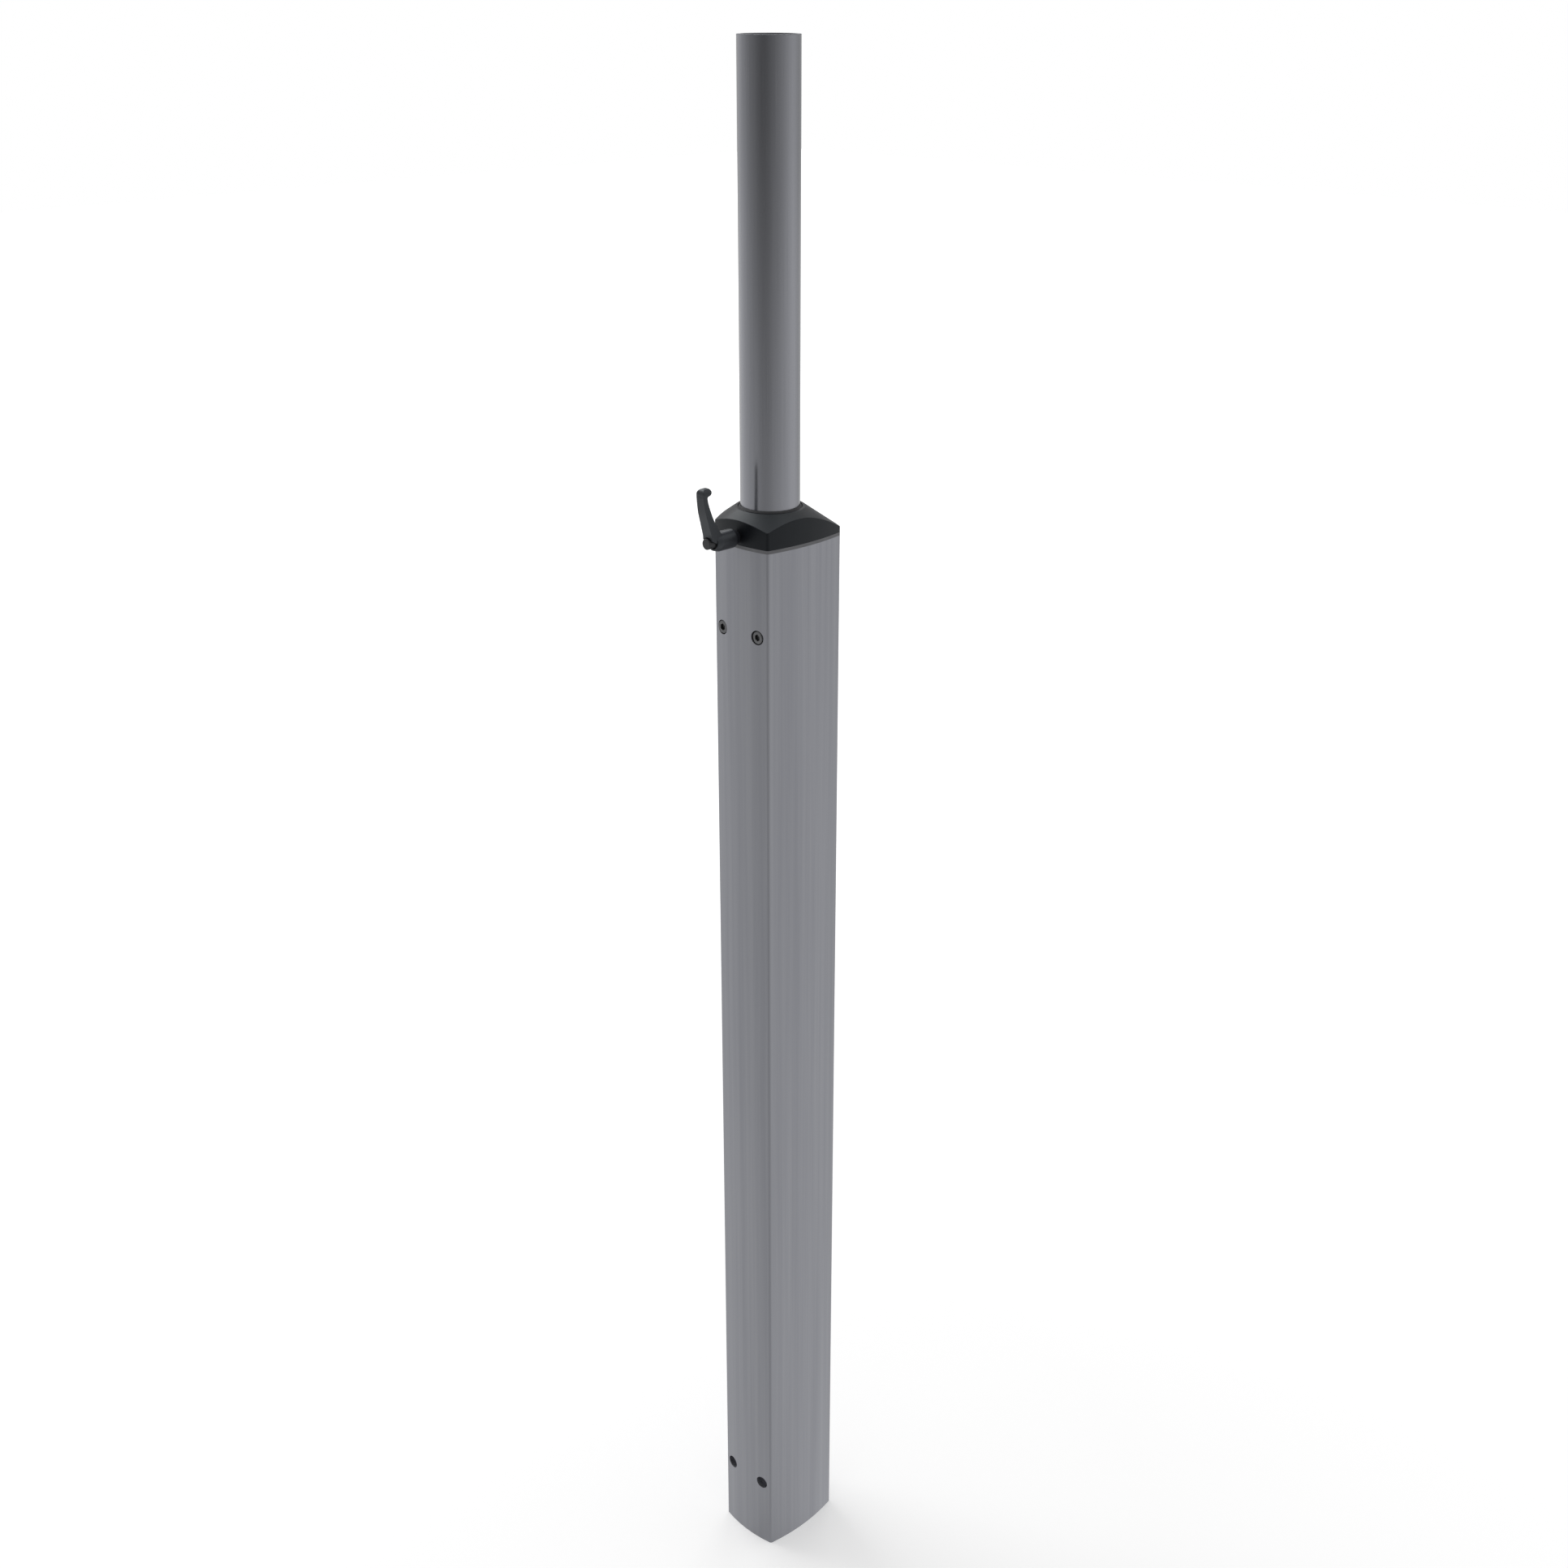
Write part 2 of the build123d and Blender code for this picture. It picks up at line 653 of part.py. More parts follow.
# Gland: closes the cylinder's lower end and guides the rod.
with BuildPart() as spring_gland:
    with BuildSketch(spring_section):
        with BuildLine():
            Polyline(
                (rod_radius + slide_gap, cylinder_bottom + spring_wall + fit_gap),
                (spring_bore - slide_gap, cylinder_bottom + spring_wall + fit_gap),
                (spring_bore - slide_gap, cylinder_bottom + gland_length),
                (rod_radius + slide_gap, cylinder_bottom + gland_length),
                close=True,
            )
        make_face()
    revolve(axis=spring_axis)
spring_gland.part.label = "spring_gland"
export_step(spring_gland.part, "parts/spring_gland.step")

# Piston: on the rod's upper end, with a groove for its ring.
piston_middle = (piston_bottom + piston_top) / 2
piston_radius = spring_bore - slide_gap
with BuildPart() as spring_piston:
    with BuildSketch(spring_section):
        with BuildLine():
            Polyline(
                (rod_radius / 2 + fit_gap, piston_bottom),
                (piston_radius, piston_bottom),
                (piston_radius, piston_middle - piston_groove_half),
                (piston_radius - piston_groove_depth, piston_middle - piston_groove_half),
                (piston_radius - piston_groove_depth, piston_middle + piston_groove_half),
                (piston_radius, piston_middle + piston_groove_half),
                (piston_radius, piston_top),
                (rod_radius / 2 + fit_gap, piston_top),
                close=True,
            )
        make_face()
    revolve(axis=spring_axis)
spring_piston.part.label = "spring_piston"
export_step(spring_piston.part, "parts/spring_piston.step")

with BuildPart() as spring_rod:
    with BuildSketch(spring_section):
        with BuildLine():
            Polyline(
                (0, rod_start),
                (rod_radius, rod_start),
                (rod_radius, piston_bottom),
                (rod_radius / 2, piston_bottom),
                (rod_radius / 2, piston_top),
                (0, piston_top),
                close=True,
            )
        make_face()
    revolve(axis=spring_axis)
spring_rod.part.label = "spring_rod"
export_step(spring_rod.part, "parts/spring_rod.step")

with BuildPart() as spring_foot_eye:
    add(spring_eye(foot_pin_height, rod_start, 1))
spring_foot_eye.part.label = "spring_foot_eye"
export_step(spring_foot_eye.part, "parts/spring_foot_eye.step")

with BuildPart() as spring_top_eye:
    add(spring_eye(top_pin_height, cylinder_top, -1))
spring_top_eye.part.label = "spring_top_eye"
export_step(spring_top_eye.part, "parts/spring_top_eye.step")

# Pins and clips of the gas spring, the same at both ends.
ear_outside = eye_thickness / 2 + loose_gap + ear_thickness
pin_start = -ear_outside - loose_gap
spring_pin_length = 2 * ear_outside + 2 * loose_gap + pin_tail
clip_place = pin_start + spring_pin_length - pin_tail + fit_gap / 2
with BuildPart() as spring_foot_pin:
    with Locations((pin_start, spring_set_back, foot_pin_height)):
        add(pin_with_groove(spring_pin_length))
spring_foot_pin.part.label = "spring_foot_pin"
export_step(spring_foot_pin.part, "parts/spring_foot_pin.step")

with BuildPart() as spring_top_pin:
    with Locations((pin_start, spring_set_back, top_pin_height)):
        add(pin_with_groove(spring_pin_length))
spring_top_pin.part.label = "spring_top_pin"
export_step(spring_top_pin.part, "parts/spring_top_pin.step")

with BuildPart() as foot_pin_clip:
    with Locations((clip_place, spring_set_back, foot_pin_height)):
        add(retaining_clip())
foot_pin_clip.part.label = "foot_pin_clip"
export_step(foot_pin_clip.part, "parts/foot_pin_clip.step")

with BuildPart() as top_pin_clip:
    with Locations((clip_place, spring_set_back, top_pin_height)):
        add(retaining_clip())
top_pin_clip.part.label = "top_pin_clip"
export_step(top_pin_clip.part, "parts/top_pin_clip.step")

# Clamp pad: a round block whose hollow end fits the tube.
pad_end = tube_radius + pad_length
with BuildPart() as clamp_pad:
    with BuildSketch(lever_section):
        with BuildLine():
            Polyline(
                (tube_radius - pad_length, 0),
                (tube_radius - pad_length, pad_diameter / 2),
                (pad_end - pad_edge, pad_diameter / 2),
                (pad_end, pad_diameter / 2 - pad_edge),
                (pad_end, 0),
                close=True,
            )
        make_face()
    revolve(axis=lever_axis)
    with BuildSketch(Plane.XY.offset(clamp_height - pad_diameter)):
        Circle(tube_radius + slide_gap)
    extrude(amount=2 * pad_diameter, mode=Mode.SUBTRACT)
clamp_pad.part.label = "clamp_pad"
export_step(clamp_pad.part, "parts/clamp_pad.step")

# Clamp stud: threaded through the head's wall, with its collar end fixed in the insert.
stud_radius = stud_diameter / 2 - slide_gap
stud_end = clutch_start
with BuildPart() as clamp_stud:
    with BuildSketch(lever_section):
        with BuildLine():
            Polyline(
                (pad_end + slide_gap, 0),
                (pad_end + slide_gap, stud_radius - stud_edge),
                (pad_end + slide_gap + stud_edge, stud_radius),
                (stud_end, stud_radius),
                (stud_end, 0),
                close=True,
            )
        make_face()
    revolve(axis=lever_axis)
clamp_stud.part.label = "clamp_stud"
export_step(clamp_stud.part, "parts/clamp_stud.step")


def clutch_section(growth):
    """The clutch's toothed section, grown by a clearance for the bore that it meshes with."""
    with BuildSketch(mode=Mode.PRIVATE) as section:
        Circle(clutch_root + growth)
        with PolarLocations(0, clutch_teeth):
            with BuildLine():
                Polyline(
                    (clutch_root / 2, -clutch_half_root - growth),
                    (clutch_root + growth, -clutch_half_root - growth),
                    (clutch_tip + growth, -clutch_half_tip - growth),
                    (clutch_tip + growth, clutch_half_tip + growth),
                    (clutch_root + growth, clutch_half_root + growth),
                    (clutch_root / 2, clutch_half_root + growth),
                    close=True,
                )
            make_face()
    return section.sketch


# Lever insert: collar against the stud, plain neck, and a short ring of clutch teeth.
clutch_end = clutch_start + clutch_length
with BuildPart() as lever_insert:
    with BuildSketch(lever_section):
        with BuildLine():
            Polyline(
                (collar_start, 0),
                (collar_start, collar_diameter / 2),
                (clutch_start, collar_diameter / 2),
                (clutch_start, 0),
                close=True,
            )
        make_face()
    revolve(axis=lever_axis)
    with BuildSketch(lever_face.offset(clutch_start)):
        add(clutch_section(0))
    extrude(amount=clutch_length)
    with BuildSketch(lever_section):
        with BuildLine():
            Polyline(
                (collar_start, 0),
                (collar_start, stud_radius + fit_gap),
                (stud_end, stud_radius + fit_gap),
                (stud_end, lever_screw_diameter / 2),
                (clutch_end, lever_screw_diameter / 2),
                (clutch_end, 0),
                close=True,
            )
        make_face()
    revolve(axis=lever_axis, mode=Mode.SUBTRACT)
lever_insert.part.label = "lever_insert"
export_step(lever_insert.part, "parts/lever_insert.step")

# Lever handle: a hub on the lever's axis and a cranked arm that rises from its outer end,
# leans outwards and ends in a rounded nose on the side of the tube.
hub_radius = hub_diameter / 2
web_start = clutch_end + hub_web_gap
web_end = web_start + hub_web
recess_radius = button_diameter / 2 + button_recess_gap
nose_out = hub_end + nose_lean
nose_height = handle_top - nose_radius
tip_centre = handle_top - handle_tip_width / 2
tip_half = handle_tip_width / 2
foot_half = handle_foot_width / 2
outer_points = [(hub_end + lean, handle_top * share) for lean, share in arm_outer_foot + arm_outer_tip]
inner_points = [(hub_end + lean, handle_top * share) for lean, share in arm_inner_tip + arm_inner_foot]
with BuildPart() as lever_handle:
    with BuildSketch(lever_section):
        with BuildLine():
            outer = Spline(*outer_points)
            crown = ThreePointArc(
                outer @ 1,
                (hub_end + crown_lean, handle_top - crown_drop),
                (nose_out, handle_top),
            )
            nose = ThreePointArc(
                crown @ 1,
                (nose_out - nose_radius, nose_height),
                (nose_out + nose_radius / 2, nose_height - nose_radius * sqrt(3) / 2),
            )
            inner = Spline(nose @ 1, *inner_points)
            Polyline(inner @ 1, ((inner @ 1).X, 0), (hub_end - loose_gap, 0), outer @ 0)
        make_face()
    extrude(amount=hub_radius, both=True)
    with BuildSketch(lever_face):
        with BuildLine():
            Polyline((-tip_half, tip_centre), (-foot_half, 0), (foot_half, 0), (tip_half, tip_centre))
            ThreePointArc((-tip_half, tip_centre), (0, handle_top + fit_gap), (tip_half, tip_centre))
        make_face()
    extrude(amount=2 * hub_end, mode=Mode.INTERSECT)
    with BuildSketch(lever_section):
        with BuildLine():
            Polyline(
                (hub_start, 0),
                (hub_start, hub_radius - hub_nose_step),
                (hub_start + hub_nose_length, hub_radius),
                (hub_end - hub_bevel_length, hub_radius),
                (hub_end, hub_radius - hub_bevel_step),
                (hub_end, 0),
                close=True,
            )
        make_face()
    revolve(axis=lever_axis)
    with BuildSketch(lever_section):
        with BuildLine():
            Polyline(
                (hub_start, 0),
                (hub_start, clutch_tip + button_recess_gap),
                (clutch_start, clutch_tip + button_recess_gap),
                (clutch_start, 0),
                close=True,
            )
        make_face()
    revolve(axis=lever_axis, mode=Mode.SUBTRACT)
    with BuildSketch(lever_face.offset(clutch_start)):
        add(clutch_section(slide_gap))
    extrude(amount=web_start - clutch_start, mode=Mode.SUBTRACT)
    with BuildSketch(lever_section):
        with BuildLine():
            Polyline(
                (web_start, 0),
                (web_start, lever_screw_diameter / 2 + loose_gap),
                (web_end, lever_screw_diameter / 2 + loose_gap),
                (web_end, recess_radius),
                (2 * hub_end, recess_radius),
                (2 * hub_end, 0),
                close=True,
            )
        make_face()
    revolve(axis=lever_axis, mode=Mode.SUBTRACT)
lever_handle.part.label = "lever_handle"
export_step(lever_handle.part, "parts/lever_handle.step")

# Lever screw: goes through the hub's web into the insert. The button sits on its head.
with BuildPart() as lever_screw:
    with BuildSketch(lever_section):
        with BuildLine():
            Polyline(
                (clutch_end - lever_screw_reach, 0),
                (clutch_end - lever_screw_reach, lever_screw_diameter / 2 - fit_gap),
                (button_start, lever_screw_diameter / 2 - fit_gap),
                (button_start, lever_screw_head / 2),
                (button_start + lever_screw_head_height, lever_screw_head / 2),
                (button_start + lever_screw_head_height, 0),
                close=True,
            )
        make_face()
    revolve(axis=lever_axis)
lever_screw.part.label = "lever_screw"
export_step(lever_screw.part, "parts/lever_screw.step")

# Lever button: a cap over the screw's head, which the thumb presses to free the clutch.
button_radius = button_diameter / 2
with BuildPart() as lever_button:
    with BuildSketch(lever_section):
        with BuildLine():
            Polyline(
                (button_start, lever_screw_head / 2 + fit_gap),
                (button_start, button_radius),
                (button_end - button_edge, button_radius),
                (button_end, button_radius - button_edge),
                (button_end, 0),
                (button_start + lever_screw_head_height + fit_gap, 0),
                (button_start + lever_screw_head_height + fit_gap, lever_screw_head / 2 + fit_gap),
                close=True,
            )
        make_face()
    revolve(axis=lever_axis)
lever_button.part.label = "lever_button"
export_step(lever_button.part, "parts/lever_button.step")

# Lever spring: a coil between the hub's web and the button.
coil_start = web_end + spring_wire / 2 + slide_gap
coil_end = button_start - spring_wire / 2 - slide_gap
with BuildPart() as lever_spring:
    with BuildLine():
        coil = Helix(
            pitch=lever_spring_pitch,
            height=coil_end - coil_start,
            radius=lever_spring_radius,
            center=(0, -coil_start, clamp_height),
            direction=(0, -1, 0),
        )
    with BuildSketch(Plane(coil @ 0, z_dir=coil % 0)):
        RegularPolygon(spring_wire / 2, 6)
    sweep()
lever_spring.part.label = "lever_spring"
export_step(lever_spring.part, "parts/lever_spring.step")
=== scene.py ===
# %% [markdown]
# # A lifting pedestal, dressed for its picture
#
# The pedestal is an upright aluminium extrusion with four slightly convex sides. A round tube slides
# up and down in it. A black head on top carries the tube's bearings, and a cranked clamping lever in
# front of the head holds the tube where it is put.
#
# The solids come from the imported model, at their real size and in their real places. This lesson gives
# every one of them its finish, and models anew the pieces whose looks need more than a plain solid: the
# lever with its button and spring, the socket screws with their threads, the wiper and the tube.

import json
from math import atan2, cos, degrees, pi, radians, sin, sqrt

import bmesh
import bpy
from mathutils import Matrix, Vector


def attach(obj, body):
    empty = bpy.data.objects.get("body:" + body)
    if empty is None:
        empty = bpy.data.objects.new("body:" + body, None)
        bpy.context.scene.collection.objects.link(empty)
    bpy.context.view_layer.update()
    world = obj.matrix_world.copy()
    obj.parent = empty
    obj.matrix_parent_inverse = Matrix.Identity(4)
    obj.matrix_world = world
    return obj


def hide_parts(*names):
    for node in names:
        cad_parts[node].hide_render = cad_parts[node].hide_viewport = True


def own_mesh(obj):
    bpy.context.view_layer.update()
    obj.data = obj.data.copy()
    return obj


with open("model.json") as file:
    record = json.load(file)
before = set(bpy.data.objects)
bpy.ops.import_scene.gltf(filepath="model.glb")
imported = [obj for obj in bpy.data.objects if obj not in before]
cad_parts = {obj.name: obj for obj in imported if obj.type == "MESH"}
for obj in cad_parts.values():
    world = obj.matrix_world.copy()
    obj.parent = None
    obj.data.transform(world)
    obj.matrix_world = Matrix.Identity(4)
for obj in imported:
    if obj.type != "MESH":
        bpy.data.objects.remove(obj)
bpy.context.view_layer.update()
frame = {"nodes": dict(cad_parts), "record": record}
nodes = frame["nodes"]

# %% [markdown]
# ## The camera
#
# The picture was taken from the front right, from a little above the head's height, with a lens that is
# slightly long. A camera can be placed by eye, by dragging it until the outlines agree. Here its place
# and its direction were fitted to the column's corners, so they are written as a point in space, a
# direction to look in and a focal length. The picture is square, and the camera stands level.

# %% Place the camera
CAMERA_PLACE = Vector((1.13622, -1.11434, 1.48491))
CAMERA_LOOK = Vector((-0.654305, 0.651070, -0.384698))
CAMERA_LENS = 44.828  # millimetres, on a sensor 36 mm wide
MILLIMETRE = 0.001

camera_data = bpy.data.cameras.new("photo_camera")
camera_data.lens = CAMERA_LENS
camera_data.sensor_width = 36.0
camera_data.clip_start = 0.05
camera_data.clip_end = 60.0
camera = bpy.data.objects.new("photo_camera", camera_data)
bpy.context.scene.collection.objects.link(camera)
camera.location = CAMERA_PLACE
camera.rotation_mode = "QUATERNION"
camera.rotation_quaternion = CAMERA_LOOK.to_track_quat("-Z", "Y")
bpy.context.scene.camera = camera
bpy.context.scene.view_settings.view_transform = "Standard"
print("camera azimuth", round(degrees(atan2(CAMERA_PLACE.x, -CAMERA_PLACE.y)), 1))

# %% [markdown]
# ## Shader maths as Python
#
# A material's nodes are wired by hand in the shader editor. In a script the same wiring reads best as
# sums: a small class wraps a socket, so that `noise * 0.2 + 0.4` adds two Math nodes. Every other node
# comes from one method, which takes the node's type, its settings and the values of its sockets.

# %% A socket that does sums
class Socket:
    """One output socket of a material's node tree, with arithmetic."""

    def __init__(self, tree, out):
        self.tree = tree
        self.out = out

    def math(self, operation, *values):
        """Adds a Math node on this socket and more values or sockets."""
        return make_node(self.tree, "ShaderNodeMath", {"operation": operation}, [self, *values])

    def __add__(self, other):
        return self.math("ADD", other)

    def __radd__(self, other):
        return self.math("ADD", other)

    def __sub__(self, other):
        return self.math("SUBTRACT", other)

    def __rsub__(self, other):
        return make_node(self.tree, "ShaderNodeMath", {"operation": "SUBTRACT"}, [other, self])

    def __mul__(self, other):
        return self.math("MULTIPLY", other)

    def __rmul__(self, other):
        return self.math("MULTIPLY", other)

    def __truediv__(self, other):
        return self.math("DIVIDE", other)

    def __pow__(self, other):
        return self.math("POWER", other)


def wire(tree, value, socket):
    """Links a wrapped socket to an input, or sets the input to a plain value."""
    if isinstance(value, Socket):
        tree.links.new(value.out, socket)
    else:
        socket.default_value = value


def make_node(tree, kind, settings=None, inputs=(), output=0):
    """Adds a node: its settings first, then its inputs, as a list or by name. Returns one output."""
    node = tree.nodes.new(kind)
    for name, value in (settings or {}).items():
        setattr(node, name, value)
    pairs = inputs.items() if isinstance(inputs, dict) else enumerate(inputs)
    for name, value in pairs:
        wire(tree, value, node.inputs[name])
    return Socket(tree, node.outputs[output])


class ShaderTree:
    """A node tree with a few shorthand methods. Both a material and the sky have one."""

    def __init__(self, tree):
        self.tree = tree

    def node(self, kind, settings=None, inputs=(), output=0):
        return make_node(self.tree, kind, settings, inputs, output)

    def place(self):
        """The point on the object, in metres."""
        return self.node("ShaderNodeTexCoord", output="Object")

    def ray_kinds(self):
        """Whether a ray comes from the camera, from a reflection or through a surface, as 0 or 1."""
        path = self.tree.nodes.new("ShaderNodeLightPath")
        names = ("Is Camera Ray", "Is Glossy Ray", "Is Transmission Ray")
        return [Socket(self.tree, path.outputs[name]) for name in names]

    def parts(self, vector):
        """A vector's three components."""
        split = self.tree.nodes.new("ShaderNodeSeparateXYZ")
        self.tree.links.new(vector.out, split.inputs[0])
        return [Socket(self.tree, out) for out in split.outputs]

    def stretch(self, vector, scale):
        """A vector with each component multiplied, which draws a pattern out along the small ones."""
        return self.node("ShaderNodeVectorMath", {"operation": "MULTIPLY"}, [vector, scale])

    def noise(self, vector, scale, detail=3.0, roughness=0.5):
        """Perlin noise from about 0.3 to 0.7."""
        return self.node(
            "ShaderNodeTexNoise",
            {},
            {"Vector": vector, "Scale": scale, "Detail": detail, "Roughness": roughness},
        )

    def blend(self, factor, first, second):
        """A colour between two colours."""
        return self.node(
            "ShaderNodeMix",
            {"data_type": "RGBA"},
            {0: factor, 6: first, 7: second},
            output=2,
        )

    def between(self, value, low, high):
        """Maps a range of values to 0..1 and cuts off what lies outside."""
        return self.node(
            "ShaderNodeMapRange",
            {"clamp": True},
            {"Value": value, "From Min": low, "From Max": high},
        )

    def bump(self, height, distance, strength=1.0):
        """Tilts the surface as if it had this height, times a distance in metres."""
        return self.node(
            "ShaderNodeBump",
            {},
            {"Height": height, "Distance": distance, "Strength": strength},
            output="Normal",
        )


class Finish(ShaderTree):
    """A material under construction, with its Principled shader."""

    def __init__(self, name):
        self.material = bpy.data.materials.new(name)
        self.material.use_nodes = True
        super().__init__(self.material.node_tree)
        self.shader = self.tree.nodes["Principled BSDF"]

    def set(self, **values):
        """Sets or links sockets of the shader. Underscores stand for spaces."""
        for name, value in values.items():
            wire(self.tree, value, self.shader.inputs[name.replace("_", " ")])
        return self.material


def grey(value, warmth=0.0):
    """A linear colour from an sRGB grey of 0..255. A negative warmth adds blue and takes a little red."""
    channels = [value + warmth * 0.35, value, value - warmth * 1.7]
    linear = [((c / 255 + 0.055) / 1.055) ** 2.4 for c in channels]
    return (*linear, 1.0)


print("a mid grey is", [round(c, 3) for c in grey(132)])

# %% [markdown]
# ## Floor, backdrop and light
#
# The picture shows the pedestal alone on white. A floor that is simply white would need so much light
# that the grey metal would burn out, so the floor is a plain pale grey for the light that falls on it,
# and what the camera sees of it is lifted to white, more so far away, where the lamps don't reach.
# Polished metal shows its surroundings, and one side of a studio is always darker: the side where the
# camera and the person stand. The round tube has that as its dark middle. So rays that come by way of a
# reflection meet a sky and a floor that darken towards that side, and the floor less so near the column.

# %% The floor
FLOOR_REACH = 12.0
DARK_SIDE = Vector((0.469, -0.883, 0.0))  # a little to the left of the camera
WHITE = (1.0, 1.0, 1.0, 1.0)
REAR_DEPTH = 0.3


def shaded_side(finish, direction_dot, depth):
    """How bright reflections are: full at both sides, less towards the dark side, a little less behind."""
    broad = finish.between(direction_dot, -0.3, 0.9) * depth
    front = 1.0 - broad - finish.between(direction_dot, 0.88, 1.0) * 0.12
    rear = 1.0 - finish.between(direction_dot * -1.0, 0.55, 0.9) * REAR_DEPTH
    return front * rear


def floor_finish():
    floor = Finish("studio_floor")
    x, y, _ = floor.parts(floor.place())
    reach = (x * x + y * y + 1e-4) ** 0.5
    towards = (x * DARK_SIDE.x + y * DARK_SIDE.y) / reach
    seen, mirrored, through = floor.ray_kinds()
    clear = seen.math("MAXIMUM", through)
    lift = clear * (floor.between(reach, 0.4, 6.0) * 0.55 + 0.30)
    floor.set(Base_Color=(0.80, 0.80, 0.80, 1.0), Roughness=0.9, Specular_IOR_Level=0.0)
    floor.set(Emission_Color=WHITE, Emission_Strength=0.0)
    lifted = floor.tree.nodes.new("ShaderNodeAddShader")
    glow = floor.node("ShaderNodeEmission", {}, {"Color": WHITE, "Strength": lift})
    floor.tree.links.new(floor.shader.outputs[0], lifted.inputs[0])
    floor.tree.links.new(glow.out, lifted.inputs[1])
    depth = floor.between(reach, 0.6, 12.0) * 0.42 + 0.26
    image = floor.node(
        "ShaderNodeEmission",
        {},
        {"Color": WHITE, "Strength": shaded_side(floor, towards, depth)},
    )
    plain = Socket(floor.tree, lifted.outputs[0])
    either = floor.node("ShaderNodeMixShader", {}, {0: mirrored, 1: plain, 2: image})
    floor.tree.links.new(either.out, floor.tree.nodes["Material Output"].inputs["Surface"])
    return floor.material


def clear_selection():
    """Deselects every object, so that an operator acts on the new piece alone."""
    if bpy.context.object and bpy.context.object.mode != "OBJECT":
        bpy.ops.object.mode_set(mode="OBJECT")
    bpy.ops.object.select_all(action="DESELECT")


clear_selection()
bpy.ops.mesh.primitive_grid_add(
    x_subdivisions=8,
    y_subdivisions=8,
    size=2 * FLOOR_REACH,
    location=(0, 0, 0),
)
floor = bpy.context.object
floor.name = "studio_floor"
floor.data.materials.append(floor_finish())
print("floor", floor.dimensions.x, "m square")

# %% The sky all round
SKY_LEVEL = 0.62
HORIZON_DEPTH = 0.68


def sky():
    world = bpy.data.worlds.new("studio_sky")
    bpy.context.scene.world = world
    world.use_nodes = True
    air = ShaderTree(world.node_tree)
    x, y, z = air.parts(air.node("ShaderNodeTexCoord", output="Generated"))
    towards = x * DARK_SIDE.x + y * DARK_SIDE.y
    seen, mirrored, through = air.ray_kinds()
    clear = seen.math("MAXIMUM", through)
    plain = 1.0 - clear.math("MAXIMUM", mirrored)
    overhead = air.between(z, 0.8, 0.97) * 1.8 + air.between(z, 0.33, 0.5) * 0.22 + 0.8
    shaded = shaded_side(air, towards, HORIZON_DEPTH)
    strength = clear + plain * SKY_LEVEL + mirrored * shaded * overhead
    background = air.tree.nodes["Background"]
    background.inputs["Color"].default_value = WHITE
    air.tree.links.new(strength.out, background.inputs["Strength"])


sky()

# %% Two soft lamps
def lamp(name, azimuth, elevation, distance, size, power):
    """A square area lamp that looks at the head, placed by its bearing from the front and its height."""
    target = Vector((0.0, 0.0, 1.0))
    turn, lift = radians(azimuth), radians(elevation)
    away = Vector((sin(turn) * cos(lift), -cos(turn) * cos(lift), sin(lift)))
    data = bpy.data.lights.new(name, "AREA")
    data.shape = "SQUARE"
    data.size = size
    data.energy = power
    light = bpy.data.objects.new(name, data)
    bpy.context.scene.collection.objects.link(light)
    light.location = target + away * distance
    light.rotation_mode = "QUATERNION"
    light.rotation_quaternion = (-away).to_track_quat("-Z", "Y")
    return light


lamp("left_lamp", -86, 46, 3.5, 2.4, 52)
lamp("rear_left_lamp", -150, 40, 3.4, 1.4, 11)
print("lamps", [light.name for light in bpy.data.lights])

# %% [markdown]
# ## The column's finish
#
# The column is an extruded profile, brushed along its length and then anodised. Brushing leaves fine
# lines that run up the whole metre, and the anodised layer makes them soft. A brushed look could be an
# image, but noise that is squeezed across and drawn out along the length gives lines that never repeat.
# Their colour hardly changes: most of what the eye sees is roughness and tiny tilts of the surface.

# %% Brushed, anodised aluminium
def brushed_column():
    metal = Finish("brushed_column")
    place = metal.place()
    fine = metal.noise(metal.stretch(place, (1.0, 1.0, 0.004)), 2600.0, 2.0)
    bands = metal.noise(metal.stretch(place, (1.0, 1.0, 0.012)), 150.0, 3.0)
    clouds = metal.noise(metal.stretch(place, (1.0, 1.0, 0.25)), 9.0, 2.0)
    tone = bands * 0.55 + fine * 0.25 + clouds * 0.2
    colour = metal.blend(metal.between(tone, 0.36, 0.64), grey(142, -3.6), grey(156, -3.2))
    metal.set(Base_Color=colour, Metallic=0.9)
    metal.set(Roughness=fine * 0.12 + bands * 0.06 + 0.34)
    metal.set(Normal=metal.bump(fine, 0.00002, 0.6))
    return metal.material


# %% [markdown]
# ## The lift tube's finish
#
# The tube is drawn, then polished a little finer than the column, because it has to slide through its
# wiper. It is darker and shinier, so it shows the studio round it: pale at its sides, dark in the middle.
# Sliding has left a few faint lines along it. Its upper end is as the saw and the deburring tool left
# it, rougher than the rest, and the height on the object gives it that roughness and a darker grey: painted
# shade, so that its rim shows no bright line.

# %% Satin tube
DULL_AND_SHADED_END = (1.4399, 1.4401)  # the heights between which the rough cut end with its painted shade begins, in metres


def satin_tube():
    metal = Finish("satin_tube")
    place = metal.place()
    fine = metal.noise(metal.stretch(place, (1.0, 1.0, 0.003)), 3000.0, 2.0)
    marks = metal.noise(metal.stretch(place, (1.0, 1.0, 0.02)), 420.0, 2.0)
    worn = metal.between(marks, 0.60, 0.72)
    colour = metal.blend(metal.between(fine, 0.3, 0.7), grey(140, -3.2), grey(148, -3.2))
    # painted shade: the cut end gets a darker grey than the wall, so its rim shows no bright line; its added
    # roughness is the real dull cut
    dull_and_shaded_end = metal.between(metal.parts(place)[2], *DULL_AND_SHADED_END)
    metal.set(Base_Color=metal.blend(dull_and_shaded_end, colour, grey(116, -3.2)), Metallic=0.95)
    metal.set(Roughness=fine * 0.06 + worn * 0.05 + 0.19 + dull_and_shaded_end * 0.3)
    metal.set(Normal=metal.bump(fine, 0.000012, 0.5))
    return metal.material


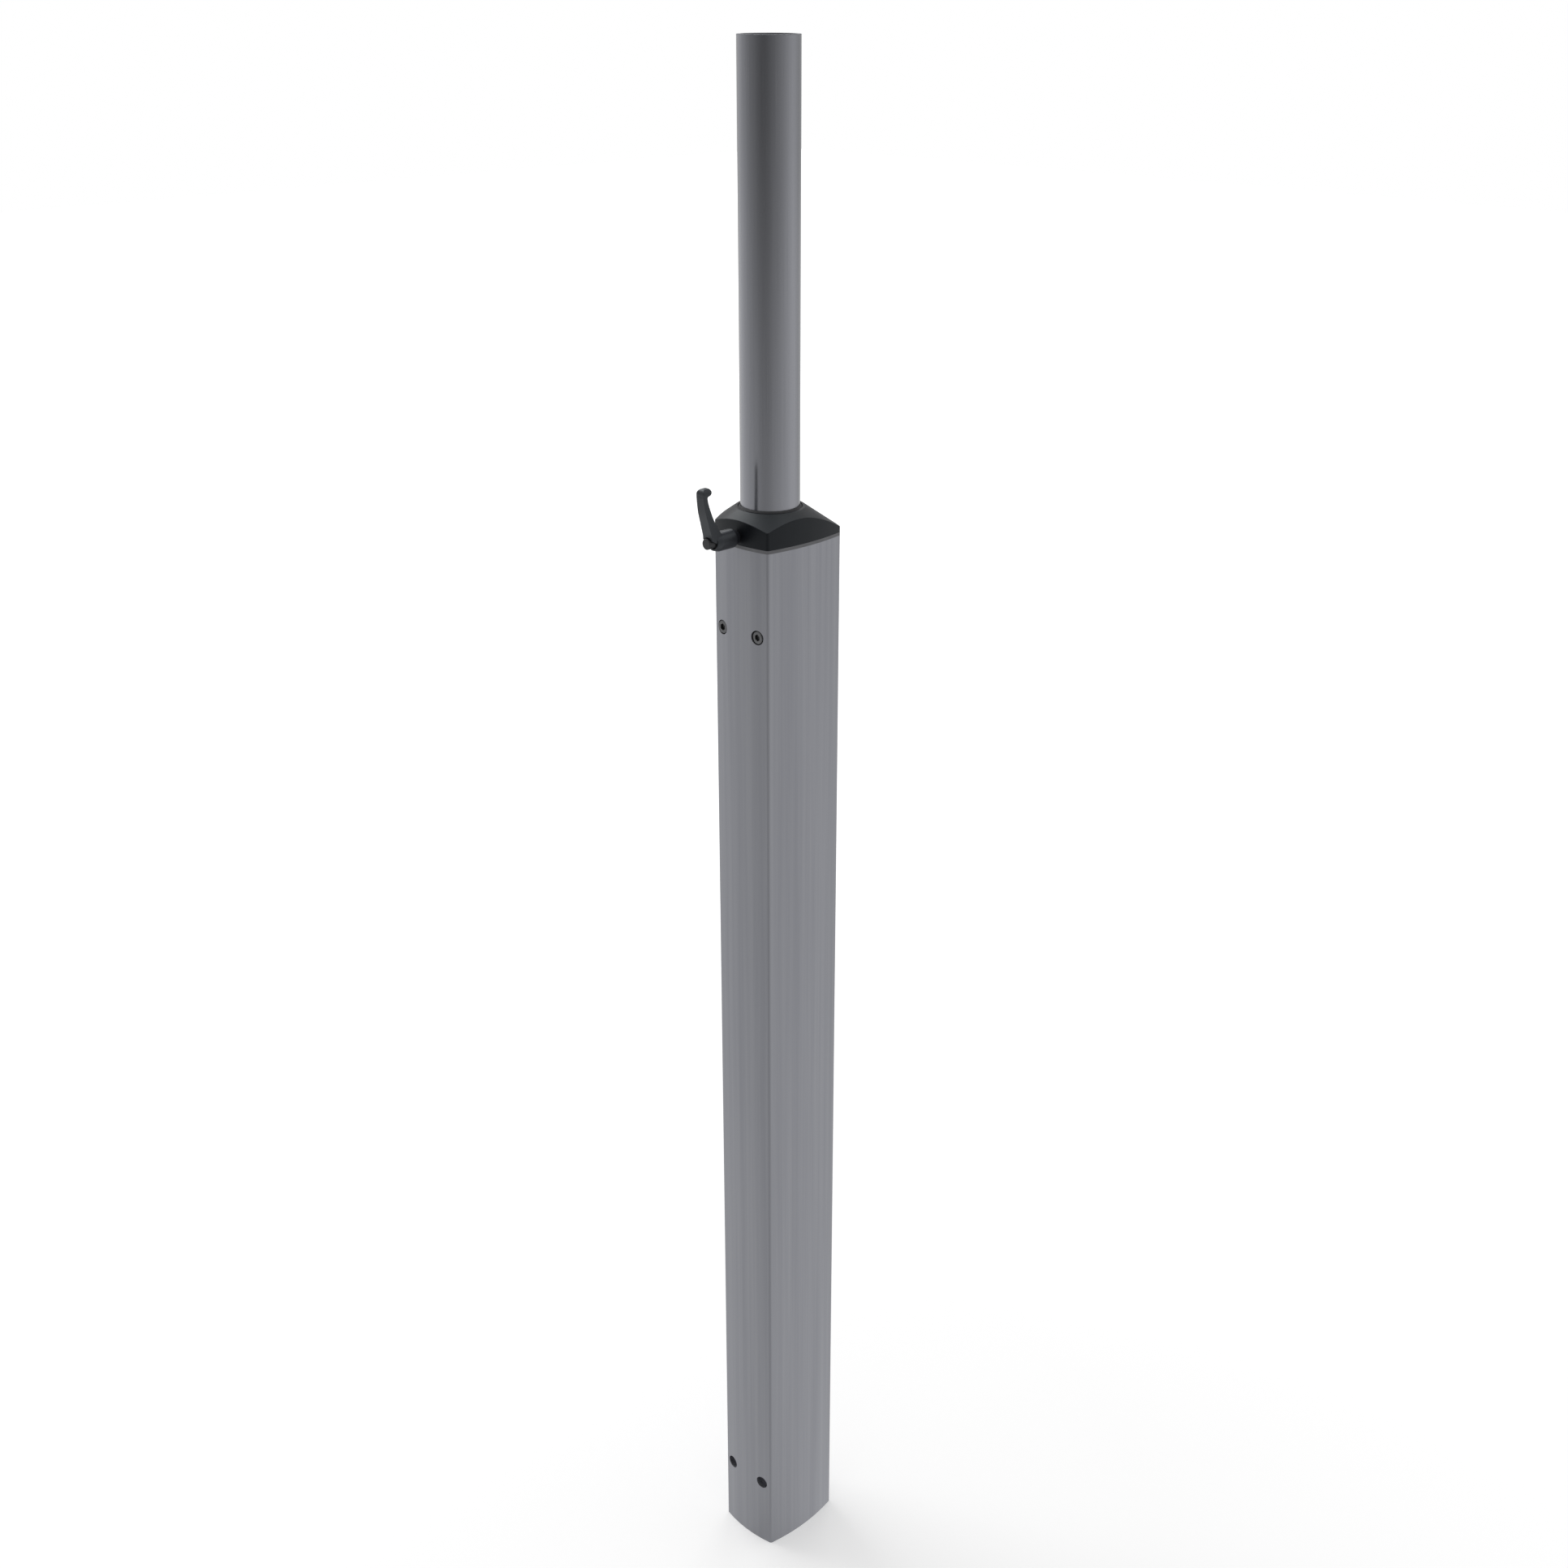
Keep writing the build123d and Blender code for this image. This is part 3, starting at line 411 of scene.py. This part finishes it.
# %% [markdown]
# ## Black powder coat
#
# The head and the lever are castings with a black powder coat. Powder melts into a skin with a faint
# orange-peel texture, satin where it is thick and a touch shinier on edges. Bump from two sizes of noise
# gives the peel, and a slow noise changes the roughness from place to place.

# %% Powder coat for the head and the lever
def powder_coat(name, tone, gloss, peel, shine):
    coat = Finish(name)
    place = coat.place()
    coarse = coat.noise(place, 900.0, 2.0)
    fine = coat.noise(place, 3600.0, 2.0)
    slow = coat.noise(place, 45.0, 2.0)
    colour = coat.blend(coat.between(slow, 0.35, 0.65), grey(tone, -2.5), grey(tone + 5, -2.5))
    coat.set(Base_Color=colour)
    coat.set(Roughness=slow * 0.10 + fine * 0.06 + gloss)
    coat.set(Specular_IOR_Level=shine, Specular_Tint=(0.86, 0.95, 1.0, 1.0))
    coat.set(Normal=coat.bump(coarse * 0.7 + fine * 0.3, peel, 0.5))
    return coat.material


# %% [markdown]
# ## The small finishes
#
# Blackened screws keep a dull sheen of oil. Zinc-plated steel is bright, with a faint cloudiness.
# Rubber and plastic are not mirrors at all. The wiper's rubber is lifted to a mid grey: a painted highlight,
# so that the ring carries on the head's lit cone where the tube shades it. Moulded plastic has a fine, even
# grain. Each of these is one function, because several pieces share it with other numbers.

# %% Screws, bright steel, rubber, plastic, brass
def steel(name, low, high, roughness, cloud=140.0, metallic=1.0):
    """Bare or treated steel: slow clouds in colour and roughness, fine turning marks in the bump."""
    metal = Finish(name)
    place = metal.place()
    clouds = metal.noise(place, cloud, 3.0)
    marks = metal.noise(place, 4200.0, 2.0)
    colour = metal.blend(metal.between(clouds, 0.35, 0.65), grey(low, -1.0), grey(high, -1.0))
    metal.set(Base_Color=colour)
    metal.set(Metallic=metallic, Roughness=clouds * 0.16 + marks * 0.05 + roughness)
    metal.set(Normal=metal.bump(marks, 0.00001, 0.4))
    return metal.material


def moulded(name, low, high, roughness, grain, depth, specular=0.4):
    """Plastic or rubber: an even moulded grain and a slow change of tone."""
    plastic = Finish(name)
    place = plastic.place()
    tone = plastic.noise(place, 60.0, 2.0)
    skin = plastic.noise(place, grain, 2.0)
    colour = plastic.blend(plastic.between(tone, 0.35, 0.65), grey(low, -1.5), grey(high, -1.5))
    plastic.set(Base_Color=colour)
    plastic.set(Roughness=skin * 0.12 + tone * 0.06 + roughness)
    plastic.set(Specular_IOR_Level=specular)
    plastic.set(Normal=plastic.bump(skin, depth, 0.5))
    return plastic.material


def turned_brass():
    """Brass from the lathe: warm, with a slight tarnish."""
    metal = Finish("turned_brass")
    place = metal.place()
    tarnish = metal.noise(place, 300.0, 3.0)
    clean, dull = (0.62, 0.42, 0.16, 1.0), (0.42, 0.27, 0.10, 1.0)
    colour = metal.blend(metal.between(tarnish, 0.4, 0.65), clean, dull)
    metal.set(Base_Color=colour, Metallic=1.0, Roughness=tarnish * 0.2 + 0.22)
    return metal.material


finishes = {
    "brushed_column": brushed_column(),
    "satin_tube": satin_tube(),
    "black_head": powder_coat("black_head", 13, 0.32, 0.00002, 0.26),
    "lever_black": powder_coat("lever_black", 34, 0.32, 0.000015, 0.5),
    "black_screws": steel("black_screws", 106, 114, 0.30, 220.0, 0.95),
    "bright_steel": steel("bright_steel", 170, 196, 0.16),
    "chromed_rod": steel("chromed_rod", 205, 215, 0.03),
    "cast_foot": steel("cast_foot", 140, 165, 0.38, 60.0),
    "seal_grey": moulded("seal_grey", 100, 108, 0.42, 1800.0, 0.00001),
    # the wiper's grey is a painted highlight: lifted above black rubber against the tube's shade, to match
    # the head's lit cone
    "wiper_rubber": moulded("wiper_rubber", 44, 52, 0.5, 1500.0, 0.00002, 0.35),
    "bush_plastic": moulded("bush_plastic", 205, 214, 0.40, 1600.0, 0.00001),
    "shoe_plastic": moulded("shoe_plastic", 36, 44, 0.42, 1200.0, 0.00001),
    "spring_black": powder_coat("spring_black", 30, 0.14, 0.000008, 0.5),
    "pad_brass": turned_brass(),
    "button_black": moulded("button_black", 32, 40, 0.34, 2400.0, 0.00001, 0.5),
}
print("finishes", sorted(finishes))

# %% Give every solid its finish
for subpart in frame["record"]["subparts"]:
    node = nodes[subpart["node"]]
    node.data.materials.clear()
    node.data.materials.append(finishes[subpart["material_slot"]])

# %% [markdown]
# ## Modelling by hand
#
# Some pieces are looked at closely, so they are modelled anew over their plain solids: the lever, its
# button and spring, the socket screws, the wiper and the tube. Most of them are turned shapes. A turned shape
# could be a profile that is spun, but here it grows as on a lathe drawing: a circle is added at the first
# station, then extruded to the next one and resized there, until the last radius is reached. A few
# helpers keep that short. One picks faces or edges by their place, and one closes the finished shell.

# %% Helpers that every modelled piece uses
slots = {subpart["node"]: subpart["material_slot"] for subpart in frame["record"]["subparts"]}


def start_piece(name):
    """Names the piece just added, moves its place into its mesh and opens it with everything selected."""
    piece = bpy.context.object
    piece.name = name
    bpy.ops.object.transform_apply(location=True, rotation=True, scale=True)
    bpy.ops.object.mode_set(mode="EDIT")
    bpy.ops.mesh.select_mode(type="VERT")
    bpy.ops.mesh.select_all(action="SELECT")
    return piece


def pick(piece, kind, test):
    """Selects the vertices, edges or faces for which a test holds, and says how many there are."""
    bpy.ops.mesh.select_mode(type=kind)
    bpy.ops.mesh.select_all(action="DESELECT")
    mesh = bmesh.from_edit_mesh(piece.data)
    items = {"VERT": mesh.verts, "EDGE": mesh.edges, "FACE": mesh.faces}[kind]
    chosen = [item for item in items if test(item)]
    for item in chosen:
        item.select_set(True)
    bmesh.update_edit_mesh(piece.data)
    return len(chosen)


def close_shell():
    """Merges doubled points, turns the faces outwards and leaves edit mode."""
    bpy.ops.mesh.select_all(action="SELECT")
    bpy.ops.mesh.remove_doubles(threshold=0.000001)
    bpy.ops.mesh.normals_make_consistent(inside=False)
    bpy.ops.object.mode_set(mode="OBJECT")


def extrude_to(step, factors, centre):
    """Extrudes what is selected by a step and resizes it there."""
    bpy.ops.mesh.extrude_region_move(TRANSFORM_OT_translate={"value": step})
    bpy.ops.transform.resize(value=factors, center_override=centre)


def apply_modifier(piece, kind, **settings):
    """Adds a modifier with its settings and applies it at once."""
    clear_selection()
    piece.select_set(True)
    bpy.context.view_layer.objects.active = piece
    modifier = piece.modifiers.new(kind.lower(), kind)
    for name, value in settings.items():
        setattr(modifier, name, value)
    bpy.ops.object.modifier_apply(modifier=modifier.name)


def fit_piece(piece, node, body, angle=32):
    """Smooths a piece, gives it its finish and puts it in the place of a solid."""
    piece.data.materials.clear()
    piece.data.materials.append(finishes[slots[node]])
    clear_selection()
    piece.select_set(True)
    bpy.context.view_layer.objects.active = piece
    bpy.ops.object.shade_smooth_by_angle(angle=radians(angle))
    apply_modifier(piece, "WEIGHTED_NORMAL", keep_sharp=True)
    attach(piece, body)
    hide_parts(node)
    print(piece.name, len(piece.data.polygons), "faces in the place of", node)


def turned(name, start, direction, stations, segments=64, hollow=False):
    """A shape turned round an axis. A station is a distance along the axis and a radius, in millimetres.
    A hollow one stays open in the middle, and its last edge is bridged to its first."""
    clear_selection()
    along, radius = stations[0]
    bpy.ops.mesh.primitive_circle_add(
        vertices=segments,
        radius=radius * MILLIMETRE,
        fill_type="NOTHING" if hollow else "NGON",
        location=start + direction * along * MILLIMETRE,
        rotation=Vector((0, 0, 1)).rotation_difference(direction).to_euler(),
    )
    piece = start_piece(name)
    for next_along, next_radius in stations[1:]:
        step = direction * (next_along - along) * MILLIMETRE
        centre = start + direction * next_along * MILLIMETRE
        extrude_to(step, [next_radius / radius] * 3, centre)
        along, radius = next_along, next_radius
    if hollow:
        pick(piece, "EDGE", lambda edge: edge.is_boundary)
        bpy.ops.mesh.bridge_edge_loops()
    close_shell()
    return piece


print("slots", len(slots))

# %% [markdown]
# ## The clamping lever
#
# The lever is a die-cast handle: a round hub on the stud, and an arm that rises from the hub's outer end,
# leans outwards and ends in a nose. Its outward face is a broad flat band with crisp edges. The arm could
# be cut out of a block, but its sections tell the shape best. A flat rectangle is added at the foot and
# extruded from section to section. Each section says how high it lies over the lever's axis and how far
# its inner and outer edges stand out from the hub's end. The width follows a rule: it narrows evenly
# upwards, and the tip, seen from the front, is half a circle.

# %% The arm's sections
CLAMP_HEIGHT = 1054.0  # the lever's axis over the floor, in millimetres
HUB_END = 65.9  # distances outwards from the tube's axis
ARM_TOP = 46.9
FOOT_WIDTH = 11.8
TIP_WIDTH = 8.9
ARM_SECTIONS = (
    (0.0, -5.6, -0.3),
    (3.0, -5.6, 5.3),
    (5.5, -5.6, 5.4),
    (7.0, -5.55, 5.7),
    (8.5, -4.4, 6.08),
    (10.0, -3.32, 6.5),
    (12.0, -2.04, 7.06),
    (14.0, -0.84, 7.61),
    (16.0, 0.36, 8.14),
    (18.0, 1.57, 8.67),
    (20.0, 2.55, 9.3),
    (22.5, 3.7, 10.02),
    (25.0, 4.7, 10.7),
    (27.5, 5.6, 11.25),
    (30.0, 6.5, 11.7),
    (32.5, 7.35, 12.08),
    (35.0, 8.05, 12.42),
    (37.0, 8.45, 12.66),
    (38.5, 8.65, 12.82),
    (39.6, 8.6, 12.92),
    (40.2, 8.1, 12.98),
    (40.6, 7.4, 12.93),
    (40.85, 6.1, 12.96),
    (41.3, 5.15, 13.0),
    (42.0, 4.48, 13.04),
    (42.8, 4.07, 13.04),
    (43.8, 3.9, 12.86),
    (44.8, 4.07, 12.42),
    (45.5, 4.4, 11.9),
    (46.1, 4.92, 11.25),
    (46.5, 5.48, 10.6),
    (46.75, 6.05, 9.95),
)


def arm_width(height):
    """The arm's width at a height over the lever's axis, in millimetres."""
    tip_centre = ARM_TOP - TIP_WIDTH / 2
    if height <= tip_centre:
        return FOOT_WIDTH + (TIP_WIDTH - FOOT_WIDTH) * height / tip_centre
    return 2 * sqrt((TIP_WIDTH / 2) ** 2 - (height - tip_centre) ** 2)


print("arm", len(ARM_SECTIONS), "sections, width", [round(arm_width(z), 1) for z in (0, 20, 45)])

# %% Extrude the arm and round its long edges
EDGE_ROUND = 0.3


def section_place(height, inner, outer):
    """The middle of a section, in metres."""
    return Vector((0.0, -(HUB_END + (inner + outer) / 2), CLAMP_HEIGHT + height)) * MILLIMETRE


def is_long_edge(edge):
    """An edge that climbs from one section to the next, not one within a section."""
    return abs(edge.verts[0].co.z - edge.verts[1].co.z) > 0.1 * MILLIMETRE


def model_arm():
    clear_selection()
    height, inner, outer = ARM_SECTIONS[0]
    bpy.ops.mesh.primitive_plane_add(
        size=MILLIMETRE,
        location=section_place(height, inner, outer),
    )
    bpy.context.object.scale = (arm_width(height), outer - inner, 1.0)
    piece = start_piece("cast_lever")
    for next_height, next_inner, next_outer in ARM_SECTIONS[1:]:
        centre = section_place(next_height, next_inner, next_outer)
        factors = (
            arm_width(next_height) / arm_width(height),
            (next_outer - next_inner) / (outer - inner),
            1.0,
        )
        extrude_to(centre - section_place(height, inner, outer), factors, centre)
        height, inner, outer = next_height, next_inner, next_outer
    long_edges = pick(piece, "EDGE", is_long_edge)
    bpy.ops.mesh.bevel(
        offset=EDGE_ROUND * MILLIMETRE,
        segments=3,
        affect="EDGES",
        clamp_overlap=False,
    )
    close_shell()
    print("rounded", long_edges, "long edges")
    return piece


arm = model_arm()

# %% [markdown]
# ## The hub, and the recess for the button
#
# The hub is turned: a short nose towards the head, a cylinder, and a long bevel towards the button. It
# joins the arm with a Boolean modifier, as if both had been cast in one. A second turned shape is the
# tool that bores the hub: a deep recess for the button in front, a wider bore for the collar at the
# back, and the screw's hole in the web between them.

# %% Turn the hub, join it and bore it
LEVER_AXIS = Vector((0.0, 0.0, CLAMP_HEIGHT * MILLIMETRE))
OUTWARDS = Vector((0.0, -1.0, 0.0))
HUB_STATIONS = (
    (40.5, 5.8),
    (40.8, 6.2),
    (44.9, 7.9),
    (45.5, 8.07),
    (46.3, 8.1),
    (61.2, 8.1),
    (61.8, 8.02),
    (65.4, 6.95),
    (65.75, 6.75),
    (65.9, 6.45),
)
BORE_STATIONS = ((39.0, 5.45), (50.5, 5.45), (50.5, 2.3), (53.0, 2.3), (53.0, 5.55), (80.0, 5.55))


def combine(piece, other, operation):
    """Joins another shape to a piece or cuts it away, and removes the other shape."""
    apply_modifier(piece, "BOOLEAN", operation=operation, object=other, solver="EXACT")
    clear_selection()
    other.select_set(True)
    bpy.ops.object.delete()


combine(arm, turned("hub", LEVER_AXIS, OUTWARDS, HUB_STATIONS, 96), "UNION")
combine(arm, turned("bore", LEVER_AXIS, OUTWARDS, BORE_STATIONS, 96), "DIFFERENCE")
fit_piece(arm, "lever_handle", "lever")

# %% [markdown]
# ## The push button
#
# The button fills the hub's recess and stands out of it. It is moulded, so its front edge is round and
# not cut, and its back is hollow over the screw's head. It is one more turned shape, and its front edge
# gets a few stations on a quarter circle.

# %% Turn the button
def quarter(along, radius, size, steps=4):
    """Stations on a quarter circle: from the side of a turned shape round to its end."""
    turns = [radians(90 * step / steps) for step in range(steps + 1)]
    return [(along - size + size * sin(turn), radius - size + size * cos(turn)) for turn in turns]


BUTTON_FOOT = [(62.7, 3.6), (60.0, 3.6), (60.0, 4.9), (60.2, 5.1), (61.8, 5.1), (62.4, 4.6)]
BUTTON_STATIONS = BUTTON_FOOT + quarter(73.2, 4.6, 0.5) + [(73.15, 3.0)]
button = turned("push_button", LEVER_AXIS, OUTWARDS, BUTTON_STATIONS, 96)
fit_piece(button, "lever_button", "clamp_screw")

# %% [markdown]
# ## The spring in the hub
#
# A small coil spring sits between the hub's web and the button. It keeps the handle's teeth in mesh, and
# it is pressed together when the handle is lifted off them. A coil could be drawn as a curve, but a
# screw modifier makes it from the wire's own section: a little circle beside the axis is turned and
# moved along at once. The two ends are open after that and get a face each.

# %% Wind the spring
SPRING_START = 53.41  # the first coil's middle, outwards from the tube's axis, in millimetres
SPRING_END = 59.59
SPRING_PITCH = 2.0
COIL_RADIUS = 4.1
WIRE = 0.7
COIL_STEPS = 28  # sections of the wire in one turn


def model_spring():
    clear_selection()
    bpy.ops.mesh.primitive_circle_add(
        vertices=12,
        radius=WIRE / 2 * MILLIMETRE,
        location=(COIL_RADIUS * MILLIMETRE, 0, 0),
        rotation=(radians(90), 0, 0),
    )
    spring = start_piece("coil_spring")
    bpy.ops.object.mode_set(mode="OBJECT")
    length = SPRING_END - SPRING_START
    turns = length / SPRING_PITCH
    apply_modifier(
        spring,
        "SCREW",
        angle=2 * pi * turns,
        screw_offset=length * MILLIMETRE,
        steps=round(COIL_STEPS * turns),
        render_steps=round(COIL_STEPS * turns),
        use_smooth_shade=False,
    )
    bpy.ops.object.mode_set(mode="EDIT")
    pick(spring, "EDGE", lambda edge: edge.is_boundary)
    bpy.ops.mesh.fill_holes(sides=0)
    close_shell()
    spring.rotation_euler = (radians(90), 0, 0)
    spring.location = LEVER_AXIS + OUTWARDS * SPRING_START * MILLIMETRE
    bpy.ops.object.transform_apply(location=True, rotation=True, scale=True)
    print("spring with", round(turns, 2), "turns")
    return spring


spring = model_spring()
fit_piece(spring, "lever_spring", "clamp_screw", 40)
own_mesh(spring)

# %% [markdown]
# ## Hexagon socket screws
#
# Each screw is modelled once and copied. The shank's thread is a row of turned crests and roots, because
# nobody will see whether they wind. The head has fine ribs all round, for the fingers that start the
# screw. The socket is a hexagon in a round face: a circle of six corners is subdivided until it has as
# many points as the head's edge, so that bridging the two loops gives neat faces. Then its edge is
# extruded inwards, and the last loop is drawn together into the cone that the punch leaves.

# %% Model one screw
SCREW_SEGMENTS = 72
SCREW_FACE = -30.09  # y of the underside of the head, in millimetres
HEAD_HEIGHT = 6.1
KEY = 5.4
UPPER_SCREWS = 970.5
LOWER_SCREWS = 73.5
SIDE = 21.0


def screw_stations():
    thread = [(-8.0, 2.2), (-7.4, 2.95)]
    for turn in range(7):
        thread += [(-7.0 + turn, 2.5), (-6.5 + turn, 2.95)]
    head = [(0.0, 2.95), (0.0, 5.3), (0.15, 5.45), (1.2, 5.45), (5.2, 5.45)]
    return thread + head + quarter(HEAD_HEIGHT, 5.45, 0.6, 3)


def model_screw(side):
    """A screw in its hole in the column's front."""
    start = Vector((side, SCREW_FACE, UPPER_SCREWS)) * MILLIMETRE
    screw = turned("screw", start, OUTWARDS, screw_stations(), SCREW_SEGMENTS)
    top = SCREW_FACE - HEAD_HEIGHT
    bpy.ops.object.mode_set(mode="EDIT")
    pick(
        screw,
        "FACE",
        lambda face: len(face.verts) == SCREW_SEGMENTS and face.calc_center_median().y < start.y,
    )
    bpy.ops.mesh.delete(type="FACE")
    corner = KEY / sqrt(3)
    bpy.ops.mesh.select_mode(type="EDGE")
    bpy.ops.mesh.primitive_circle_add(
        vertices=6,
        radius=corner * MILLIMETRE,
        location=(start.x, top * MILLIMETRE, start.z),
        rotation=(radians(90), 0, 0),
    )
    bpy.ops.mesh.subdivide(number_cuts=SCREW_SEGMENTS // 6 - 1)
    pick(screw, "EDGE", lambda edge: edge.is_boundary or edge.is_wire)
    bpy.ops.mesh.bridge_edge_loops()
    pick(screw, "EDGE", lambda edge: edge.is_boundary)
    depth = Vector((start.x, (top + 0.25) * MILLIMETRE, start.z))
    extrude_to((0, 0.25 * MILLIMETRE, 0), (0.95, 1.0, 0.95), depth)
    extrude_to((0, 2.75 * MILLIMETRE, 0), (1.0, 1.0, 1.0), depth)
    extrude_to((0, 0.9 * MILLIMETRE, 0), (0.02, 1.0, 0.02), depth)
    bpy.ops.mesh.merge(type="CENTER")

    def is_rib(face):
        middle = face.calc_center_median()
        turn = atan2(middle.x - start.x, middle.z - start.z) / (2 * pi) * SCREW_SEGMENTS
        on_side = -5.0 < middle.y / MILLIMETRE - SCREW_FACE < -1.5
        far_out = (middle - start).xz.length > 5.3 * MILLIMETRE
        return on_side and far_out and round(turn - 0.5) % 2 == 0

    ribs = pick(screw, "FACE", is_rib)
    bpy.ops.mesh.inset(thickness=0.04 * MILLIMETRE, depth=-0.12 * MILLIMETRE, use_individual=True)
    close_shell()
    print("screw with", ribs, "grooves round its head")
    return screw


first_screw = model_screw(-SIDE)

# %% Copy the screw to its other places
COLUMN_CENTRE = (0.0, 0.0089, 0.0)
DROP = LOWER_SCREWS - UPPER_SCREWS


def copy_screw(name, shift, turn_round):
    """A copy of the first screw with its own mesh, moved, and turned to the back where asked."""
    clear_selection()
    first_screw.select_set(True)
    bpy.context.view_layer.objects.active = first_screw
    bpy.ops.object.duplicate()
    screw = bpy.context.object
    screw.name = name
    bpy.ops.transform.translate(value=Vector(shift) * MILLIMETRE)
    if turn_round:
        bpy.ops.transform.rotate(value=pi, orient_axis="Z", center_override=COLUMN_CENTRE)
    bpy.ops.object.transform_apply(location=True, rotation=True, scale=True)
    return screw


screws = [
    (copy_screw("head_screw_front_right", (2 * SIDE, 0, 0), False), "head_screws"),
    (copy_screw("head_screw_rear_right", (0, 0, 0), True), "head_screws"),
    (copy_screw("head_screw_rear_left", (2 * SIDE, 0, 0), True), "head_screws"),
    (copy_screw("foot_screw_rear_right", (0, 0, DROP), True), "foot_screws"),
    (copy_screw("foot_screw_rear_left", (2 * SIDE, 0, DROP), True), "foot_screws"),
]
first_screw.name = "head_screw_front_left"
for screw, node in [(first_screw, "head_screws")] + screws:
    fit_piece(screw, node, "column")

# %% [markdown]
# ## The wiper ring
#
# The wiper is a rubber ring in the head's rim. Its lip presses on the tube and keeps dirt out of the
# bearings. Rubber has no sharp edges, so the ring's section is a row of stations with a rounded lip. The
# section is closed, therefore the ring is hollow: it starts from a circle without a face, and at the
# end its last edge is bridged to its first.

# %% Turn the wiper
UPWARDS = Vector((0.0, 0.0, 1.0))
RIM = Vector((0.0, 0.0, 1073.4 * MILLIMETRE))
WIPER_STATIONS = (
    (-5.98, 25.66),
    (-5.98, 27.18),
    (-1.05, 27.18),
    (-0.85, 27.12),
    (-0.78, 26.98),
    (-0.6, 26.75),
    (-0.1, 26.3),
    (0.6, 25.8),
    (0.95, 25.58),
    (1.08, 25.42),
    (1.1, 25.28),
    (1.06, 25.14),
    (0.95, 25.06),
    (-1.6, 25.06),
)
wiper = turned("rubber_wiper", RIM, UPWARDS, WIPER_STATIONS, 128, hollow=True)
fit_piece(wiper, "wiper_ring", "column")

# %% [markdown]
# ## The lift tube
#
# The tube is drawn, cut to length and deburred on both edges of its open end. Its wall is 3 mm, so the
# eye sees the wall's thin ring and the darker bore behind it. It is turned like the wiper, with many
# sides, because the tube's outline is the smoothest line in the picture. The hole for its pin is bored
# last, with a cylinder across it.

# %% Turn the tube and bore it for its pin
TUBE_TOP = 1440.4
TUBE_BOTTOM = 912.7
TUBE_STATIONS = (
    (TUBE_BOTTOM, 22.0),
    (TUBE_BOTTOM, 25.0),
    (1200.0, 25.0),
    (TUBE_TOP - 0.3, 25.0),
    (TUBE_TOP - 0.1, 24.91),
    (TUBE_TOP, 24.7),
    (TUBE_TOP, 22.3),
    (TUBE_TOP - 0.1, 22.09),
    (TUBE_TOP - 0.3, 22.0),
    (1200.0, 22.0),
)
tube = turned("drawn_tube", Vector((0, 0, 0)), UPWARDS, TUBE_STATIONS, 128, hollow=True)
PIN_PLACE = Vector((-40.0, 0.0, TUBE_BOTTOM + 15.0)) * MILLIMETRE
PIN_DIRECTION = Vector((1.0, 0.0, 0.0))
PIN_STATIONS = ((0, 3.0), (40, 3.0), (80, 3.0))
combine(tube, turned("pin_bore", PIN_PLACE, PIN_DIRECTION, PIN_STATIONS, 48), "DIFFERENCE")
fit_piece(tube, "lift_tube", "mast")
